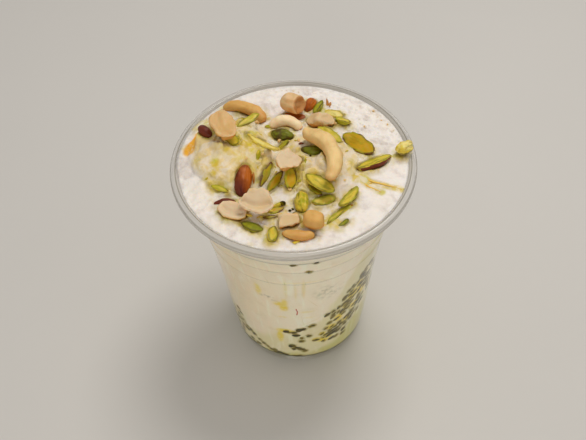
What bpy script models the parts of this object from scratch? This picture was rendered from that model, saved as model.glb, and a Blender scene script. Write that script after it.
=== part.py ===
"""A falooda in a clear plastic cup: vermicelli milk over basil seeds, under a cap of cream with
two scoops of ice cream and a topping of cashews, pistachios and almonds. The origin is the middle
of the foot on the table, +Z is up, and -Y faces the viewer. Sizes are in metres, angles in degrees."""

import math

import bmesh
import bpy
from mathutils import Euler, Matrix, Vector, noise
from mathutils.bvhtree import BVHTree

# Cup
HEIGHT = 0.102
RIM_RADIUS = 0.049
WALL = 0.0007
SIDES = 48
WALL_OUTLINE = (
    (0.0030, 0.0297),
    (0.0140, 0.0312),
    (0.0470, 0.0347),
    (0.0705, 0.0379),
    (0.0812, 0.0403),
    (0.0985, 0.0447),
)
RING_HEIGHTS = (0.0705, 0.0812)
RING_PROUD = 0.0004
RING_HALF_WIDTH = 0.0008
FOOT_OUTER_RADIUS = 0.0287
FOOT_INNER_RADIUS = 0.0273
UNDERSIDE = 0.0031
FLOOR = 0.0042
FLOOR_CORNER = 0.0064

# Contents
GAP = 0.0003
WELD = 0.00002
CREAM_BOTTOM = 0.0880
CREAM_LEVEL = 0.1008
CREAM_RISE = 0.0010
CREAM_WAVE = 0.00025
LAYER_CELLS = 12

# The basil seeds lie on a slope that falls away from this direction, then climb the wall there
SLOPE_DIRECTION = -30.0
CLIMB_SOFTNESS = 0.0015
SEED_TOP_LOWEST = 0.0095
SEED_TOP_MIDDLE = 0.0220
SEED_TOP_SLOPE = 0.45
SEED_TOP_CLIMB = 2.6
SEED_TOP_CLIMB_START = 0.0220
SEED_BOTTOM_LOWEST = 0.0065
SEED_BOTTOM_SLOPE = 0.14
SEED_BOTTOM_CLIMB = 3.4
SEED_BOTTOM_CLIMB_START = 0.0260

# Ice cream: middle, radii, and how far its flat underside is below the cream's level
SCOOP_LEFT = ((-0.0248, 0.0040), (0.0170, 0.0190, 0.0105), -0.0015)
SCOOP_MIDDLE = ((0.0100, -0.0040), (0.0155, 0.0165, 0.0085), -0.0015)
SCOOP_DEPTH = 0.0080
SCOOP_LUMP = 0.0009

# Small things fused to the cream: vermicelli strands as paths, and basil seeds
STRANDS = (
    ((0.0228, -0.0111), (0.0275, -0.0146), (0.0326, -0.0184)),
    ((0.0300, -0.0129), (0.0352, -0.0148), (0.0403, -0.0176)),
)
STRAND_RADIUS = 0.0006
STRAND_SIDES = 6
SEEDS = (
    (-0.0049, -0.0235),
    (-0.0025, -0.0264),
    (-0.0014, -0.0280),
    (0.0001, -0.0271),
)
SEED_RADIUS = 0.0009

# Toppings
NUT_SINK = 0.0012
DROP_HEIGHT = 0.1300
DROP_STEP = 0.0004

CREAM_WHITE = (0.86, 0.83, 0.80)
MILK = (0.66, 0.60, 0.48)
SEED_GREEN = (0.16, 0.15, 0.05)
BASE_GREEN = (0.55, 0.52, 0.30)
CASHEW = (0.78, 0.57, 0.33)
PISTACHIO_GREEN = (0.45, 0.48, 0.06)
PISTACHIO_GOLD = (0.62, 0.42, 0.03)
PISTACHIO_DARK = (0.10, 0.14, 0.02)
ALMOND = (0.36, 0.08, 0.02)
CLEAR = (0.90, 0.92, 0.93)


def clear_scene():
    for obj in list(bpy.data.objects):
        bpy.data.objects.remove(obj, do_unlink=True)


def new_collection(name, shown):
    collection = bpy.data.collections.new(name)
    bpy.context.scene.collection.children.link(collection)
    collection.hide_render = not shown
    return collection


def material(name, colour, roughness, transmission=0.0):
    """One plain finish, made once for each name."""
    found = bpy.data.materials.get(name)
    if found:
        return found
    made = bpy.data.materials.new(name)
    made.use_nodes = True
    shader = made.node_tree.nodes["Principled BSDF"]
    shader.inputs["Base Color"].default_value = (*colour, 1.0)
    shader.inputs["Roughness"].default_value = roughness
    shader.inputs["Transmission Weight"].default_value = transmission
    made.diffuse_color = (*colour, 1.0)
    return made


def new_object(name, mesh, collection, finish=None):
    obj = bpy.data.objects.new(name, mesh)
    collection.objects.link(obj)
    if finish:
        mesh.materials.append(finish)
    return obj


def hide(cutter):
    cutter.hide_render = True
    cutter.display_type = "WIRE"


def mesh_of(bm, name):
    mesh = bpy.data.meshes.new(name)
    bm.to_mesh(mesh)
    bm.free()
    return mesh


def applied(obj):
    """Puts the result of an object's modifiers in its own mesh."""
    bpy.context.view_layer.update()
    evaluated = obj.evaluated_get(bpy.context.evaluated_depsgraph_get())
    mesh = bpy.data.meshes.new_from_object(evaluated)
    obj.modifiers.clear()
    obj.data = mesh


def drop_scraps(obj):
    """Keeps the largest body of a mesh, as a cut can leave crumbs of cream between two sockets."""
    bm = bmesh.new()
    bm.from_mesh(obj.data)
    bmesh.ops.remove_doubles(bm, verts=bm.verts[:], dist=WELD)
    bmesh.ops.dissolve_degenerate(bm, edges=bm.edges[:], dist=WELD)
    bmesh.ops.triangulate(bm, faces=bm.faces[:], ngon_method="BEAUTY")
    left = set(bm.faces)
    bodies = []
    while left:
        body = [left.pop()]
        for face in body:
            for edge in face.edges:
                if len(edge.link_faces) > 2:
                    continue
                reached = [other for other in edge.link_faces if other in left]
                left.difference_update(reached)
                body += reached
        bodies.append(body)
    bodies.sort(key=len)
    for body in bodies[:-1]:
        bmesh.ops.delete(bm, geom=body, context="FACES")
    bm.to_mesh(obj.data)
    bm.free()


def turned(name, profile, collection, finish=None):
    """A profile of (radius, height) points turned about +Z, running down its outer side."""
    mesh = bpy.data.meshes.new(name)
    points = [(radius, 0.0, height) for radius, height in profile]
    edges = [(i, i + 1) for i in range(len(points) - 1)]
    mesh.from_pydata(points, edges, [])
    obj = new_object(name, mesh, collection, finish)
    screw = obj.modifiers.new("Turn", "SCREW")
    screw.axis = "Z"
    screw.steps = SIDES
    screw.render_steps = SIDES
    screw.use_merge_vertices = True
    screw.merge_threshold = 0.00001
    screw.use_smooth_shade = True
    return obj


def wall_radius(height):
    """The cup's outer radius at a height, read from its outline."""
    for (low, low_radius), (high, high_radius) in zip(WALL_OUTLINE, WALL_OUTLINE[1:]):
        if height <= high:
            share = (height - low) / (high - low)
            return low_radius + share * (high_radius - low_radius)
    low, low_radius = WALL_OUTLINE[-2]
    high, high_radius = WALL_OUTLINE[-1]
    return high_radius + (height - high) * (high_radius - low_radius) / (high - low)


def inner_radius(height):
    return wall_radius(height) - WALL


def lip_profile():
    """The rolled lip, from the inner wall over the top and round to the outer wall under it."""
    top = HEIGHT
    return [
        (RIM_RADIUS - 0.0034, top - 0.0009),
        (RIM_RADIUS - 0.0026, top - 0.0002),
        (RIM_RADIUS - 0.0016, top),
        (RIM_RADIUS - 0.0005, top - 0.0005),
        (RIM_RADIUS, top - 0.0015),
        (RIM_RADIUS - 0.0003, top - 0.0032),
        (RIM_RADIUS - 0.0009, top - 0.0031),
        (RIM_RADIUS - 0.0009, top - 0.0015),
        (RIM_RADIUS - 0.0017, top - 0.0009),
        (RIM_RADIUS - 0.0025, top - 0.0010),
    ]


def ring_profile(height):
    """One moulded stacking ring of the wall."""
    radius = wall_radius(height)
    return [
        (wall_radius(height + RING_HALF_WIDTH), height + RING_HALF_WIDTH),
        (radius + RING_PROUD, height),
        (wall_radius(height - RING_HALF_WIDTH), height - RING_HALF_WIDTH),
    ]


def add_cup(parts):
    heights = [height for height, radius in WALL_OUTLINE]
    inside = [(0.0, FLOOR), (FOOT_INNER_RADIUS, FLOOR)]
    inside += [(inner_radius(FLOOR_CORNER), FLOOR_CORNER)]
    inside += [(inner_radius(height), height) for height in heights[1:]]
    outside = [(wall_radius(heights[-1]), heights[-1])]
    for height in reversed(RING_HEIGHTS):
        outside += ring_profile(height)
    outside += [(wall_radius(height), height) for height in (heights[2], heights[1], heights[0])]
    foot = [
        (wall_radius(heights[0]) - 0.0003, 0.0009),
        (FOOT_OUTER_RADIUS, 0.0),
        (FOOT_INNER_RADIUS, 0.0),
        (FOOT_INNER_RADIUS - 0.0006, UNDERSIDE),
        (0.0, UNDERSIDE),
    ]
    finish = material("clear_plastic", CLEAR, 0.05, transmission=1.0)
    return turned("cup", inside + lip_profile() + outside + foot, parts, finish)


def eased(value, softness):
    """A ramp that is nothing below zero and value above it, with a rounded corner."""
    return softness * math.log1p(math.exp(value / softness))


def slope_distance(x, y):
    angle = math.radians(SLOPE_DIRECTION)
    return x * math.cos(angle) + y * math.sin(angle)


def seed_top(x, y):
    """The top of the basil seeds: low on the left and climbing the wall on the right."""
    along = slope_distance(x, y)
    slope = max(SEED_TOP_LOWEST, SEED_TOP_MIDDLE + SEED_TOP_SLOPE * along)
    return slope + SEED_TOP_CLIMB * eased(along - SEED_TOP_CLIMB_START, CLIMB_SOFTNESS)


def seed_bottom(x, y):
    along = slope_distance(x, y)
    slope = SEED_BOTTOM_LOWEST + SEED_BOTTOM_SLOPE * max(0.0, along)
    return slope + SEED_BOTTOM_CLIMB * eased(along - SEED_BOTTOM_CLIMB_START, CLIMB_SOFTNESS)


def filling(name, collection, finish=None):
    """The space inside the cup below the cream, a gap clear of the wall and the floor."""
    high = CREAM_BOTTOM - GAP
    heights = [height for height, radius in WALL_OUTLINE if FLOOR_CORNER < height < high]
    profile = [(0.0, high)]
    for height in [high] + heights[::-1] + [FLOOR_CORNER]:
        profile.append((inner_radius(height) - GAP, height))
    profile += [(FOOT_INNER_RADIUS - GAP, FLOOR + GAP), (0.0, FLOOR + GAP)]
    return turned(name, profile, collection, finish)


def layer_cutter(name, surface, shift, upward, cutters):
    """Everything above, or below, a layer's surface."""
    reach = RIM_RADIUS
    bm = bmesh.new()
    bmesh.ops.create_grid(bm, x_segments=LAYER_CELLS, y_segments=LAYER_CELLS, size=reach)
    for vertex in bm.verts:
        vertex.co.z = surface(vertex.co.x, vertex.co.y)
    bmesh.ops.triangulate(bm, faces=bm.faces[:])
    bm.normal_update()
    for vertex in bm.verts:
        vertex.co += vertex.normal * shift
    grown = bmesh.ops.extrude_face_region(bm, geom=bm.faces[:])
    for item in grown["geom"]:
        if isinstance(item, bmesh.types.BMVert):
            item.co.z = 0.3 if upward else -0.1
    bmesh.ops.recalc_face_normals(bm, faces=bm.faces[:])
    cutter = new_object(name, mesh_of(bm, name), cutters)
    hide(cutter)
    return cutter


def cut(obj, cutter, solver="EXACT"):
    boolean = obj.modifiers.new("Cut " + cutter.name, "BOOLEAN")
    boolean.operation = "DIFFERENCE"
    boolean.solver = solver
    boolean.object = cutter


def add_layers(parts, cutters):
    """The drink below the cream, in three layers that run right through it."""
    half_gap = GAP / 2
    under_seed_top = layer_cutter("below_seed_top", seed_top, half_gap, False, cutters)
    over_seed_top = layer_cutter("above_seed_top", seed_top, -half_gap, True, cutters)
    under_seeds = layer_cutter("below_seeds", seed_bottom, half_gap, False, cutters)
    over_base = layer_cutter("above_base", seed_bottom, -half_gap, True, cutters)
    milk = filling("milk_layer", parts, material("milk", MILK, 0.4))
    cut(milk, under_seed_top)
    seeds = filling("basil_seed_layer", parts, material("basil_seeds", SEED_GREEN, 0.3))
    cut(seeds, over_seed_top)
    cut(seeds, under_seeds)
    base = filling("base_layer", parts, material("base_milk", BASE_GREEN, 0.4))
    cut(base, over_base)


def cream_height(x, y):
    """The cream's uneven surface: flush with the wall and a little higher towards the middle."""
    radius = math.hypot(x, y)
    middle = 1.0 - min(1.0, radius / inner_radius(CREAM_LEVEL)) ** 2
    waves = CREAM_WAVE * math.sin(330.0 * x + 1.3) * math.sin(290.0 * y + 0.4)
    return CREAM_LEVEL + CREAM_RISE * middle + waves * min(1.0, 4.0 * middle)


def scoop_height(scoop, x, y):
    """The height of a scoop's surface above a place, or nothing outside it."""
    (middle_x, middle_y), (radius_x, radius_y, radius_z), lift = scoop
    flat = ((x - middle_x) / radius_x) ** 2 + ((y - middle_y) / radius_y) ** 2
    if flat >= 1.0:
        return 0.0
    return CREAM_LEVEL + lift + radius_z * math.sqrt(1.0 - flat)


def soft_height(x, y):
    return max(cream_height(x, y), scoop_height(SCOOP_LEFT, x, y), scoop_height(SCOOP_MIDDLE, x, y))


def add_cream(parts):
    """The cream as a turned plug with rings on its top, which then take its uneven height."""
    edge = inner_radius(CREAM_LEVEL) - GAP
    rings = 5
    profile = [(edge * i / rings, CREAM_LEVEL) for i in range(rings + 1)]
    profile += [(inner_radius(CREAM_BOTTOM) - GAP, CREAM_BOTTOM), (0.0, CREAM_BOTTOM)]
    cream = turned("cream_top", profile, parts, material("cream", CREAM_WHITE, 0.6))
    applied(cream)
    for vertex in cream.data.vertices:
        if vertex.co.z > CREAM_LEVEL - GAP:
            vertex.co.z = cream_height(vertex.co.x, vertex.co.y)
    return cream


def strand_mesh(path):
    """A thread of vermicelli along the cream's surface, half sunk in it."""
    start, middle, end = [Vector(point) for point in path]
    steps = 6
    bm = bmesh.new()
    rings = []
    for step in range(steps + 1):
        share = step / steps
        place = start.lerp(middle, share).lerp(middle.lerp(end, share), share)
        heading = (middle - start).lerp(end - middle, share)
        across = Vector((-heading.y, heading.x)).normalized()
        radius = STRAND_RADIUS * (0.45 + 0.55 * math.sin(math.pi * min(1.0, 0.15 + share)) ** 0.5)
        ring = []
        for side in range(STRAND_SIDES):
            angle = 2 * math.pi * side / STRAND_SIDES
            out = across * math.cos(angle) * radius
            height = cream_height(place.x, place.y) + math.sin(angle) * radius
            ring.append(bm.verts.new((place.x + out.x, place.y + out.y, height)))
        rings.append(ring)
    for first, second in zip(rings, rings[1:]):
        for side in range(STRAND_SIDES):
            following = (side + 1) % STRAND_SIDES
            bm.faces.new((first[side], first[following], second[following], second[side]))
    bm.faces.new(rings[0][::-1])
    bm.faces.new(rings[-1])
    bmesh.ops.recalc_face_normals(bm, faces=bm.faces[:])
    return mesh_of(bm, "strand")


def seed_mesh(place):
    """A basil seed, its lower half in the cream."""
    bm = bmesh.new()
    bmesh.ops.create_icosphere(bm, subdivisions=1, radius=SEED_RADIUS)
    height = cream_height(*place) + SEED_RADIUS / 3
    bm.transform(Matrix.Translation((*place, height)) @ Matrix.Diagonal((1.25, 1.0, 0.9, 1.0)))
    return mesh_of(bm, "seed")


def fuse_small_things(cream, small_things):
    """Joins the strands and seeds to the cream with one union."""
    meshes = [strand_mesh(path) for path in STRANDS] + [seed_mesh(place) for place in SEEDS]
    for mesh in meshes:
        hide(new_object("fused_" + mesh.name, mesh, small_things))
    boolean = cream.modifiers.new("Fuse", "BOOLEAN")
    boolean.operation = "UNION"
    boolean.operand_type = "COLLECTION"
    boolean.collection = small_things
    boolean.solver = "MANIFOLD"
    applied(cream)
    for obj in list(small_things.objects):
        bpy.data.objects.remove(obj, do_unlink=True)


def scoop_mesh(name, scoop, grow):
    """A lumpy ball of ice cream with a flat underside, larger all round by grow."""
    (middle_x, middle_y), (radius_x, radius_y, radius_z), lift = scoop
    bm = bmesh.new()
    bmesh.ops.create_uvsphere(bm, u_segments=18, v_segments=10, radius=1.0)
    for vertex in bm.verts:
        lump = SCOOP_LUMP * noise.noise(vertex.co * 2.2 + Vector((middle_x, middle_y, 0.0)) * 100)
        vertex.co.x *= radius_x + lump + grow
        vertex.co.y *= radius_y + lump + grow
        vertex.co.z *= radius_z + lump + grow
    floor = Vector((0.0, 0.0, -SCOOP_DEPTH - grow))
    halve(bm, floor, Vector((0.0, 0.0, -1.0)))
    bm.transform(Matrix.Translation((middle_x, middle_y, CREAM_LEVEL + lift)))
    return mesh_of(bm, name)


def halve(bm, place, direction):
    """Cuts off what lies past a plane and closes the cut."""
    everything = bm.verts[:] + bm.edges[:] + bm.faces[:]
    bmesh.ops.bisect_plane(bm, geom=everything, plane_co=place, plane_no=direction, clear_outer=True)
    open_edges = [edge for edge in bm.edges if edge.is_boundary]
    if open_edges:
        bmesh.ops.contextual_create(bm, geom=open_edges)
    bmesh.ops.recalc_face_normals(bm, faces=bm.faces[:])


def kernel(name, size, finish, bend=0.0, ends=(1.0, 1.0), skew=0.0, cuts=(), rings=8, sides=8):
    """A nut along +X that bends towards +Y. ends above 1 are pointed, below 1 blunt. skew makes
    the +X end thicker. Each cut is a place, as a share of the half sizes, and a direction."""
    length, width, height = size
    half = Vector((length / 2, width / 2, height / 2))
    turn = math.radians(bend)
    seed = Vector((sum(map(ord, name)) * 0.37, 0.0, 0.0))
    bm = bmesh.new()
    bmesh.ops.create_uvsphere(bm, u_segments=sides, v_segments=rings, radius=1.0)
    for vertex in bm.verts:
        along = max(-1.0, min(1.0, vertex.co.z))
        ring = math.hypot(vertex.co.x, vertex.co.y)
        across, up = (vertex.co.x / ring, vertex.co.y / ring) if ring > 0.0001 else (0.0, 0.0)
        sharp = ends[0] + (ends[1] - ends[0]) * (along + 1) / 2
        girth = ring**sharp * (1 + skew * along)
        girth *= 1 + 0.16 * noise.noise(vertex.co * 1.7 + seed)
        side = across * girth * half.y
        if abs(turn) > 0.01:
            radius = length / turn
            angle = turn * along / 2
            x = (radius - side) * math.sin(angle)
            y = radius - (radius - side) * math.cos(angle)
            sag = radius * (1 - math.cos(turn / 2)) / 2
            vertex.co = Vector((x, y - sag, up * girth * half.z))
        else:
            vertex.co = Vector((along * half.x, side, up * girth * half.z))
    for place, direction in cuts:
        halve(bm, Vector([share * reach for share, reach in zip(place, half)]), Vector(direction))
    return {"name": name, "mesh": mesh_of(bm, name), "finish": finish}


def grown(mesh, amount):
    """A copy of a mesh's points moved out along its normals, with its triangles."""
    mesh.calc_loop_triangles()
    points = [vertex.co + vertex.normal * amount for vertex in mesh.vertices]
    triangles = [tuple(triangle.vertices) for triangle in mesh.loop_triangles]
    return points, triangles


class Pile:
    """Lays toppings down one by one, each as low as it goes on what is already there."""

    def __init__(self, parts, cutters, cup):
        self.parts = parts
        self.cutters = cutters
        cup_mesh = cup.evaluated_get(bpy.context.evaluated_depsgraph_get()).to_mesh()
        points, triangles = grown(cup_mesh, 0.0)
        self.trees = [BVHTree.FromPolygons(points, triangles)]
        self.pieces = []

    def touches(self, points, triangles, height):
        shift = Vector((0.0, 0.0, height))
        tree = BVHTree.FromPolygons([point + shift for point in points], triangles)
        return any(tree.overlap(other) for other in self.trees)

    def rest_height(self, mesh, sink):
        """The height at which a piece lies on the soft surface or on a nut, whichever is higher."""
        points, triangles = grown(mesh, GAP * 1.15)
        soft = max(soft_height(point.x, point.y) - point.z for point in points) - sink
        high = DROP_HEIGHT
        while high > soft and not self.touches(points, triangles, high - DROP_STEP):
            high -= DROP_STEP
        return max(high, soft)

    def lay(self, piece, at, turn=0.0, pitch=0.0, roll=0.0, sink=NUT_SINK):
        mesh = piece["mesh"]
        angles = [math.radians(angle) for angle in (roll, -pitch, turn)]
        mesh.transform(Euler(angles, "XYZ").to_matrix().to_4x4())
        mesh.transform(Matrix.Translation((at[0], at[1], 0.0)))
        height = self.rest_height(mesh, sink)
        mesh.transform(Matrix.Translation((0.0, 0.0, height)))
        mesh.update()
        self.add(piece)

    def add(self, piece):
        mesh = piece["mesh"]
        for polygon in mesh.polygons:
            polygon.use_smooth = True
        mesh.set_sharp_from_angle(angle=math.radians(45))
        obj = new_object(piece["name"], mesh, self.parts, piece["finish"])
        points, triangles = grown(mesh, 0.0)
        self.trees.append(BVHTree.FromPolygons(points, triangles))
        self.pieces.append(obj)

    def add_sockets(self):
        """A slightly larger copy of each piece, to cut its seat in the cream."""
        for obj in self.pieces:
            points, triangles = grown(obj.data, GAP * 1.1)
            mesh = bpy.data.meshes.new("socket_" + obj.name)
            mesh.from_pydata(points, [], triangles)
            hide(new_object("socket_" + obj.name, mesh, self.cutters))


FLAT_UP = ((0.0, 0.0, 0.0), (0.0, 0.0, 1.0))


def cashew_finish():
    return material("cashew", CASHEW, 0.5)


def cashew(name, length=0.022, thick=0.0068, bend=95.0, **options):
    """A whole curved cashew."""
    size = (length, thick, thick * 0.92)
    options.setdefault("ends", (0.42, 0.50))
    options.setdefault("rings", 11)
    options.setdefault("sides", 10)
    return kernel(name, size, cashew_finish(), bend=bend, **options)


def cashew_split(name, length=0.015, width=0.0085, height=0.0085, bend=45.0, **options):
    """Half a cashew with its flat inner face up."""
    options.setdefault("ends", (0.62, 0.62))
    options.setdefault("rings", 10)
    cuts = (((0.0, 0.0, 0.1), (0.0, 0.0, 1.0)),) + tuple(options.pop("cuts", ()))
    return kernel(name, (length, width, height), cashew_finish(), bend=bend, cuts=cuts, **options)


def cashew_chunk(name, size, cuts, bend=30.0):
    """A broken end of a cashew, with each break a plane."""
    return kernel(name, size, cashew_finish(), bend=bend, ends=(0.5, 0.55), cuts=cuts)


def pistachio(name, length=0.0125, width=0.0070, height=0.0062, colour=PISTACHIO_GREEN, **options):
    """A whole pistachio kernel, pointed at both ends."""
    finish = material("pistachio_%02d%02d%02d" % tuple(int(99 * c) for c in colour), colour, 0.45)
    options.setdefault("ends", (1.25, 1.05))
    options.setdefault("rings", 7)
    return kernel(name, (length, width, height), finish, **options)


def pistachio_half(name, length=0.0125, width=0.0070, height=0.0064, **options):
    """A pistachio split lengthways, with its flat face up."""
    options.setdefault("colour", PISTACHIO_GOLD)
    options["cuts"] = (FLAT_UP,) + tuple(options.pop("cuts", ()))
    return pistachio(name, length, width, height, **options)


def sliver(name, length=0.0110, width=0.0026, height=0.0026, bend=15.0, **options):
    """A thin shaving of pistachio with a flat top."""
    options.setdefault("sides", 6)
    return pistachio_half(name, length, width, height, bend=bend, **options)


def almond_half(name, length=0.0160, width=0.0088, height=0.0070, **options):
    """Half an almond with its brown skin on the round side."""
    finish = material("almond_skin", ALMOND, 0.5)
    cuts = (((0.0, 0.0, -0.1), (0.0, 0.0, -1.0)),) + tuple(options.pop("cuts", ()))
    return kernel(name, (length, width, height), finish, ends=(0.9, 1.3), cuts=cuts, **options)


def lay_under_layer(pile):
    """The pieces that lie lowest, in the hollow between the scoops."""
    dark = PISTACHIO_DARK
    green = PISTACHIO_GREEN
    pile.lay(sliver("almond_sliver_back", 0.0092, 0.0036, 0.0034, colour=ALMOND),
             (0.0017, 0.0247), turn=-14, roll=12)
    pile.lay(cashew("cashew_arched_middle", 0.0148, 0.0050, 110.0, skew=-0.12),
             (-0.0023, 0.0193), turn=170, roll=-50)
    pile.lay(pistachio("pistachio_dark_back", 0.0100, 0.0054, 0.0046, colour=dark),
             (-0.0037, 0.0131), turn=-18)
    pile.lay(pistachio("pistachio_olive_middle", 0.0088, 0.0044, 0.0034, colour=dark),
             (0.0077, -0.0004), turn=-8, roll=10, sink=0.0024)
    pile.lay(pistachio_half("pistachio_gold_middle", 0.0094, 0.0054, 0.0056),
             (-0.0011, -0.0135), turn=-97, roll=-24, pitch=-18)
    pile.lay(pistachio_half("pistachio_gold_slanted", 0.0110, 0.0038, 0.0044),
             (-0.0073, -0.0121), turn=-124, roll=-24, pitch=-8)
    pile.lay(pistachio_half("pistachio_slim", 0.0130, 0.0030, 0.0044),
             (-0.0107, -0.0083), turn=-112, roll=-30, pitch=-5)
    pile.lay(almond_half("almond_half_brown", 0.0138, 0.0068, 0.0058),
             (-0.0196, -0.0121), turn=-101, roll=-14, pitch=-30, sink=0.0022)
    pile.lay(pistachio_half("pistachio_slice_middle", 0.0068, 0.0028, 0.0034),
             (0.0079, -0.0183), turn=-42, roll=-20, pitch=-12, sink=0.0018)
    pile.lay(pistachio_half("pistachio_low_right", 0.0092, 0.0044, 0.0048, colour=green),
             (0.0107, -0.0229), turn=10, roll=16)


def lay_front(pile):
    """The ring of pieces in front of the scoops."""
    gold = PISTACHIO_GOLD
    green = PISTACHIO_GREEN
    pile.lay(pistachio_half("pistachio_half_front", 0.0080, 0.0043, 0.0052),
             (-0.0088, -0.0376), turn=-100, roll=-20)
    pile.lay(sliver("pistachio_green_front", 0.0098, 0.0042, 0.0040, colour=green),
             (-0.0165, -0.0335), turn=-26, roll=15)
    pile.lay(pistachio("pistachio_whole_front", 0.0102, 0.0060, 0.0054, colour=green),
             (0.0024, -0.0237), turn=-92)
    pile.lay(cashew_chunk("cashew_wedge_front", (0.0116, 0.0064, 0.0064),
             (((-0.45, 0.0, 0.0), (-1.0, 0.1, 0.0)), ((0.0, -0.2, 0.5), (0.0, -0.5, 1.0)))),
             (-0.0038, -0.0328), turn=5)
    pile.lay(cashew("cashew_low_front", 0.0124, 0.0048, 30.0, ends=(1.1, 0.7), rings=9, sides=8),
             (0.0005, -0.0390), turn=-8)
    pile.lay(cashew_chunk("cashew_round_front", (0.0082, 0.0078, 0.0076), (), bend=10.0),
             (0.0064, -0.0345), turn=-10)
    pile.lay(sliver("pistachio_gold_front", 0.0076, 0.0034, 0.0034, colour=gold),
             (-0.0075, -0.0261), turn=15)
    pile.lay(sliver("pistachio_sliver_front", 0.0064, 0.0020, 0.0022, colour=gold),
             (-0.0095, -0.0291), turn=4)
    pile.lay(almond_half("almond_dark_piece", 0.0086, 0.0034, 0.0036),
             (-0.0267, -0.0208), turn=2, roll=-40)
    pile.lay(cashew_split("cashew_dome_front", 0.0118, 0.0072, 0.0080, 20.0),
             (-0.0235, -0.0267), turn=-28, roll=14)
    pile.lay(cashew_split("cashew_split_front", 0.0134, 0.0106, 0.0074, 50.0, skew=0.15,
             cuts=(((-0.72, 0.3, 0.0), (-1.0, 0.9, 0.0)),)), (-0.0147, -0.0263),
             turn=-8, roll=26)


def lay_back(pile):
    """The pieces behind the scoops."""
    green = PISTACHIO_GREEN
    pile.lay(almond_half("almond_piece_back", 0.0080, 0.0056, 0.0056), (0.0084, 0.0314),
             turn=70, roll=-25)
    pile.lay(cashew_chunk("cashew_roasted_back", (0.0112, 0.0092, 0.0084),
             (((0.50, 0.0, 0.0), (1.0, -0.3, 0.35)),)), (0.0020, 0.0270), turn=-25, roll=-20)
    pile.lay(pistachio_half("pistachio_upright_back", 0.0092, 0.0036, 0.0044, colour=green),
             (0.0114, 0.0284), turn=-118, roll=20)
    pile.lay(pistachio_half("pistachio_pale_back", 0.0085, 0.0044, 0.0044, colour=green),
             (0.0178, 0.0247), turn=-22, roll=12)
    pile.lay(pistachio_half("pistachio_green_back", 0.0070, 0.0044, 0.0044, colour=green),
             (0.0212, 0.0198), turn=-30, roll=-20)


def lay_left(pile):
    """The pieces on the back of the left scoop."""
    green = PISTACHIO_GREEN
    pile.lay(pistachio_half("pistachio_under_cashew", 0.0098, 0.0056, 0.0044, colour=green),
             (-0.0242, 0.0059), turn=-48, roll=14, sink=0.0026)
    pile.lay(cashew("cashew_curved_left", 0.0210, 0.0056, 75.0, skew=-0.2),
             (-0.0189, 0.0284), turn=152, roll=-20)
    pile.lay(almond_half("almond_tip_left", 0.0078, 0.0044, 0.0046), (-0.0344, 0.0121),
             turn=-50, roll=20)
    pile.lay(sliver("pistachio_crumb_left", 0.0046, 0.0036, 0.0040), (-0.0198, 0.0240), turn=-5)
    pile.lay(pistachio_half("pistachio_long_left", 0.0118, 0.0036, 0.0044, colour=green),
             (-0.0173, 0.0182), turn=38, roll=12)
    pile.lay(cashew_split("cashew_half_left", 0.0150, 0.0104, 0.0090, 25.0, skew=0.1),
             (-0.0268, 0.0085), turn=112, pitch=5, sink=0.0020)


def lay_middle(pile):
    """The pieces on and beside the middle scoop."""
    green = PISTACHIO_GREEN
    pile.lay(pistachio_half("pistachio_long_middle", 0.0148, 0.0056, 0.0062, colour=green),
             (0.0097, -0.0179), turn=-42, roll=14, sink=0.0024)
    pile.lay(sliver("pistachio_shaving_right", 0.0150, 0.0028, 0.0030, -30.0),
             (0.0162, -0.0295), turn=41)
    pile.lay(pistachio_half("pistachio_curved_right", 0.0128, 0.0040, 0.0050, bend=35.0),
             (0.0203, -0.0230), turn=50, roll=20)
    pile.lay(cashew_chunk("cashew_broken_right", (0.0126, 0.0066, 0.0076),
             (((-0.1, 0.0, 0.65), (-0.75, 0.0, 1.0)), ((0.1, 0.0, 0.45), (0.35, 0.0, 1.0)))),
             (0.0119, 0.0198), turn=-8, roll=8)
    pile.lay(pistachio_half("pistachio_behind_cashew", 0.0132, 0.0046, 0.0052, bend=-25.0,
             colour=green), (0.0151, 0.0101), turn=-46, roll=10)
    pile.lay(cashew_split("cashew_flat_middle", 0.0108, 0.0100, 0.0060, 25.0,
             cuts=(((0.75, 0.3, 0.0), (1.0, 0.5, 0.0)), ((-0.2, -0.8, 0.0), (-0.3, -1.0, 0.0)))),
             (-0.0019, -0.0081), turn=35, roll=16, pitch=-8)
    pile.lay(cashew("cashew_whole_right", 0.0320, 0.0070, -108.0, skew=-0.05),
             (0.0117, -0.0063), turn=-72, roll=10)


def lay_right(pile):
    """The pieces on the cream at the right, one of them on the lip."""
    green = PISTACHIO_GREEN
    pile.lay(pistachio_half("pistachio_large_right", 0.0162, 0.0076, 0.0070), (0.0262, 0.0056),
             turn=-44, roll=22)
    pile.lay(pistachio_half("pistachio_split_right", 0.0162, 0.0056, 0.0070), (0.0315, -0.0047),
             turn=24, roll=-25)
    pile.lay(pistachio("pistachio_on_lip", 0.0084, 0.0064, 0.0062, colour=green),
             (0.0440, 0.0009), turn=25, pitch=12)


def lay_shavings(pile):
    """The thin shavings, laid last."""
    green = PISTACHIO_GREEN
    pile.lay(sliver("pistachio_shaving_arrow", 0.0076, 0.0022, 0.0024, 5.0), (-0.0042, 0.0078),
             turn=26, pitch=25)
    pile.lay(sliver("pistachio_shaving_long", 0.0172, 0.0034, 0.0032, 25.0), (-0.0116, 0.0042),
             turn=-38, roll=10)
    pile.lay(sliver("pistachio_crumb_right", 0.0055, 0.0024, 0.0024, colour=green),
             (0.0175, -0.0333), turn=40)
    pile.lay(sliver("pistachio_shaving_left", 0.0082, 0.0030, 0.0026, -15.0, colour=green),
             (-0.0287, -0.0146), turn=-27)


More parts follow.
